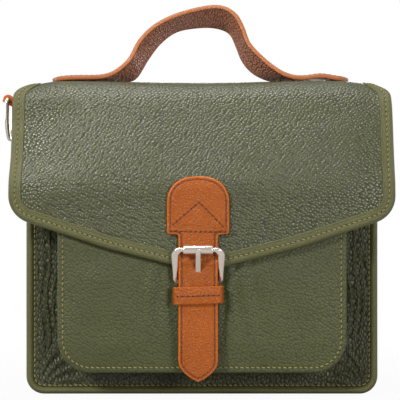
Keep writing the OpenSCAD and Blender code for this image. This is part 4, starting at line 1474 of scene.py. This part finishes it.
def prong_piece(s):
    """Buckle prong: a tapering pin from its eye round the bar to a rounded, bowed tip."""
    n = 60
    f = np.linspace(PRONG_START, PRONG_END, n)
    bow = -1.1 * smooth(21.5, PRONG_END, f)
    cos, sin = np.cos(PRONG_TILT), np.sin(PRONG_TILT)
    path = np.stack([np.full(n, s.strap_x), BAR[1] - f * sin - bow * cos, BAR[2] + f * cos - bow * sin], 1)
    tip = round_end(PRONG_END - f, 2.1, 0.01)
    taper = 1.0 - 0.12 * smooth(8, 24, f)
    pin = Shape()
    pin.sweep(path, (1, 0, 0), oblong(1.95, 1.1, 0.85), np.stack([tip * taper, 0.35 + 0.65 * tip], 1))
    k = np.linspace(0, 2 * np.pi, 40, endpoint=False)
    eye = np.stack([np.full(40, s.strap_x), BAR[1] + CURL_R * np.cos(k), BAR[2] + CURL_R * np.sin(k)], 1)
    pin.sweep(eye, (1, 0, 0), oblong(1.9, 0.55, 0.4), closed=True)
    pin.make("prong_pin", ["nickel"], "nickel", "buckle_prong", replaces=("buckle_prong",))


def ring_piece(side):
    """A D ring that hangs from its tab: a bar, two rounded corners and a half circle."""
    x, _, top = joint_mm("ring_" + side + "_swing")
    low = top - RING_BELOW
    a = np.linspace(0, -np.pi, 40)
    arc = np.stack([RING_HALF * np.cos(a), low + RING_HALF * np.sin(a)], 1)
    bar = rounded([(-RING_HALF, low, 0), (-RING_HALF, top, 2.6), (RING_HALF, top, 2.6),
                   (RING_HALF, low, 0)], steps=10)
    o = ring_of(np.concatenate([arc, bar[1:-1]]), 180)
    path = np.stack([np.full(len(o), x), o[:, 0], o[:, 1]], 1)
    ring = Shape()
    ring.sweep(path, (1, 0, 0), WIRE_R * oval(14), closed=True)
    ring.make("d_ring_" + side + "_wire", ["nickel"], "nickel", "ring_" + side,
              replaces=("d_ring_" + side,))


class BAG_OT_metal(bpy.types.Operator):
    """Metal: roller buckle with its prong, both rings; the snap and board keep their CAD shape"""
    bl_idname = "bag.metal"
    bl_label = "Build Metal"

    def execute(self, context):
        s = sizes()
        buckle_piece(s)
        roller_piece(s)
        prong_piece(s)
        for side in ("left", "right"):
            ring_piece(side)
        for node, key in (("snap_socket", "nickel"), ("snap_washer", "nickel"), ("snap_stud", "nickel"),
                          ("base_board", "board")):
            mesh = frame["nodes"][node].data
            mesh.materials.clear()
            mesh.materials.append(material(key))
        return {'FINISHED'}


def ring_tab_pieces(side, s):
    """A doubled strap that goes up the side, round the ring's bar and down again, sewn in a box."""
    x, _, bar = joint_mm("ring_" + side + "_swing")
    sign = np.sign(x)
    k = np.radians(np.linspace(205, -25, 24))
    curl = np.stack([np.abs(x) + 2.55 * np.cos(k), bar + 2.55 * np.sin(k)], 1)
    inner = [(118.75, 171.6), (118.75, 178), (118.75, 186.5), (119.3, 190.2)]
    outer = [(121.6, 191.4), (120.75, 187.0), (120.7, 178), (120.7, 172.4)]
    n = 130
    way = resample(catmull(np.concatenate([inner, curl, outer]), 6), n)
    path = np.stack([sign * way[:, 0], 0 * way[:, 0], way[:, 1]], 1)
    along = np.linspace(0, 1, n)
    end = np.minimum(along, 1 - along) * arc_length(way)[-1]
    wide = 0.75 + 0.25 * round_end(end, 4.0)
    prof = oblong(10.0, 0.95, 0.8)
    strap = Shape()
    strap.sweep(path, (0, 1, 0), prof, np.stack([wide, np.ones(n)], 1),
                edge=smooth(8.9, 9.9, np.abs(prof[:, 0])))
    name = "ring_tab_" + side
    strap.make(name + "_leather", ["tan"], "tan_leather", "bag_body", replaces=(name,))
    box = rounded([(-7.6, 187.0, 0), (-7.6, 174.6, 2), (7.6, 174.6, 2), (7.6, 187.0, 0)], steps=6)
    n = 120
    box = resample(np.concatenate([box, box[:1]]), n)
    path = np.stack([np.full(n, sign * 121.62), box[:, 0], box[:, 1]], 1)
    sewn = Shape()
    sewn.stitches(path, facing(0, sign, n), s.pitch * 0.9, radius=TAN_THREAD)
    sewn.make(name + "_stitches", ["thread_tan"], "tan_leather", "bag_body")


class BAG_OT_tabs(bpy.types.Operator):
    """Ring tabs: a doubled strap on each side that goes round the ring's bar"""
    bl_idname = "bag.tabs"
    bl_label = "Build Ring Tabs"

    def execute(self, context):
        for side in ("left", "right"):
            ring_tab_pieces(side, sizes())
        return {'FINISHED'}


# Stage
CAMERA_AT = (-0.0013, -0.861, 0.1316)
CAMERA_LENS = 110.9
FLOOR_HALF = 3.0
FLOOR_GREY = 0.4
SHADOW_NEAR = 0.10
SHADOW_FAR = 0.36
GLOSS_LEVEL = 0.32
DIM_LEVEL = 0.03

# Square area lights as (name, place, aim, width, watts), in metres
LIGHTS = [("key", (-0.85, -1.12, 0.88), (0, 0, 0.13), 0.26, 17.0),
          ("card", (0.1, -1.5, 0.50), (0, 0, 0.12), 1.6, 0.5),
          ("sheen", (-0.12, -0.32, 1.34), (0, 0, 0.18), 0.35, 8.0),
          ("fill", (0.70, -1.2, 0.36), (0, 0, 0.12), 0.4, 7.5),
          ("top", (0.0, 0.15, 1.3), (0, 0, 0.15), 0.9, 5.0),
          ("left", (-1.2, 0.35, 0.5), (0, 0, 0.12), 0.6, 5.0),
          ("right", (1.2, 0.35, 0.5), (0, 0, 0.12), 0.6, 5.0),
          ("back", (0.2, 1.3, 0.35), (0, 0, 0.12), 0.6, 7.0)]


def add_camera(scene):
    """A level camera in front of the bag."""
    cam = bpy.data.cameras.new("camera")
    cam.sensor_width = 36.0
    cam.sensor_fit = 'HORIZONTAL'
    cam.lens = CAMERA_LENS
    obj = bpy.data.objects.new("camera", cam)
    obj.location = CAMERA_AT
    obj.rotation_euler = (np.pi / 2, 0.0, 0.0)
    scene.collection.objects.link(obj)
    scene.camera = obj


def floor_white():
    """Floor finish: white to the camera, but for the shadow near the bag that shows through."""
    m = bpy.data.materials.new("floor_white")
    m.use_nodes = True
    tree = m.node_tree
    bsdf = tree.nodes["Principled BSDF"]
    bsdf.inputs['Base Color'].default_value = (FLOOR_GREY, FLOOR_GREY, FLOOR_GREY, 1)
    bsdf.inputs['Roughness'].default_value = 0.9
    bsdf.inputs['Specular IOR Level'].default_value = 0.1
    at = Sock(tree, tree.nodes.new('ShaderNodeTexCoord').outputs['Object'])
    flat = at.grow((1.0, 1.0, 0.0))
    away = flat.node('ShaderNodeVectorMath', {0: flat}, out=1, operation='LENGTH')
    seen = Sock(tree, tree.nodes.new('ShaderNodeLightPath').outputs['Is Camera Ray'])
    glow = at.node('ShaderNodeEmission', {'Strength': 1.0})
    share = away.step(SHADOW_NEAR, SHADOW_FAR, 0.95, 1.0) * seen
    both_ways = at.node('ShaderNodeMixShader', {0: share, 1: Sock(tree, bsdf.outputs[0]), 2: glow})
    tree.links.new(both_ways.out, tree.nodes["Material Output"].inputs['Surface'])
    return m


def add_floor(scene):
    """A square floor at z = 0."""
    f = FLOOR_HALF
    mesh = bpy.data.meshes.new("floor")
    mesh.from_pydata([(-f, -f, 0), (f, -f, 0), (f, f, 0), (-f, f, 0)], [], [(0, 1, 2, 3)])
    mesh.materials.append(floor_white())
    obj = bpy.data.objects.new("floor", mesh)
    scene.collection.objects.link(obj)


def add_surround(scene):
    """A surround that is white to the camera, grey in reflections and dim as a light."""
    world = bpy.data.worlds.new("surround")
    world.use_nodes = True
    tree = world.node_tree
    path = tree.nodes.new('ShaderNodeLightPath')
    seen = Sock(tree, path.outputs['Is Camera Ray'])
    gloss = Sock(tree, path.outputs['Is Glossy Ray'])
    level = seen * (1.0 - DIM_LEVEL) + gloss * GLOSS_LEVEL + DIM_LEVEL
    background = tree.nodes["Background"]
    background.inputs['Color'].default_value = (1, 1, 1, 1)
    tree.links.new(level.out, background.inputs['Strength'])
    scene.world = world


def add_light(scene, name, place, aim, width, watts):
    """A square area light that looks from its place to its aim."""
    light = bpy.data.lights.new(name, 'AREA')
    light.shape = 'SQUARE'
    light.size = width
    light.energy = watts
    obj = bpy.data.objects.new(name, light)
    d = unit(np.subtract(aim, place))
    obj.location = place
    obj.rotation_euler = (np.arccos(-d[2]), 0.0, np.arctan2(d[1], d[0]) - np.pi / 2)
    scene.collection.objects.link(obj)


class BAG_OT_stage(bpy.types.Operator):
    """Stage: pale floor with the shadow, white surround, soft lights and the camera"""
    bl_idname = "bag.stage"
    bl_label = "Build Stage"

    def execute(self, context):
        scene = context.scene
        scene.view_settings.view_transform = 'Standard'
        add_camera(scene)
        add_floor(scene)
        add_surround(scene)
        for light in LIGHTS:
            add_light(scene, *light)
        return {'FINISHED'}


# Sidebar and registration
class BAG_PT_panel(bpy.types.Panel):
    """Sidebar panel with the bag's sizes, colours and build buttons"""
    bl_idname = "BAG_PT_panel"
    bl_label = "Messenger Bag"
    bl_space_type = 'VIEW_3D'
    bl_region_type = 'UI'
    bl_category = "Bag"

    def draw(self, context):
        col = self.layout.column()
        for group in (context.scene.bag_sizes, context.scene.bag_colours):
            for name in group.__annotations__:
                col.prop(group, name)
        for op in OPERATORS:
            col.operator(op.bl_idname)


OPERATORS = (BAG_OT_stage, BAG_OT_flap, BAG_OT_handle, BAG_OT_body, BAG_OT_pocket,
             BAG_OT_closure, BAG_OT_metal, BAG_OT_tabs)
CLASSES = (BagSizes, BagColours) + OPERATORS + (BAG_PT_panel,)


def register():
    """Registers the classes and the scene's two property groups."""
    for c in CLASSES:
        bpy.utils.register_class(c)
    bpy.types.Scene.bag_sizes = bpy.props.PointerProperty(type=BagSizes)
    bpy.types.Scene.bag_colours = bpy.props.PointerProperty(type=BagColours)


def unregister():
    """Takes back what register did."""
    del bpy.types.Scene.bag_colours
    del bpy.types.Scene.bag_sizes
    for c in reversed(CLASSES):
        bpy.utils.unregister_class(c)


def main():
    register()
    for step in (bpy.ops.bag.stage, bpy.ops.bag.flap, bpy.ops.bag.handle, bpy.ops.bag.body,
                 bpy.ops.bag.pocket, bpy.ops.bag.closure, bpy.ops.bag.metal, bpy.ops.bag.tabs):
        step()


if __name__ == "__main__":
    main()
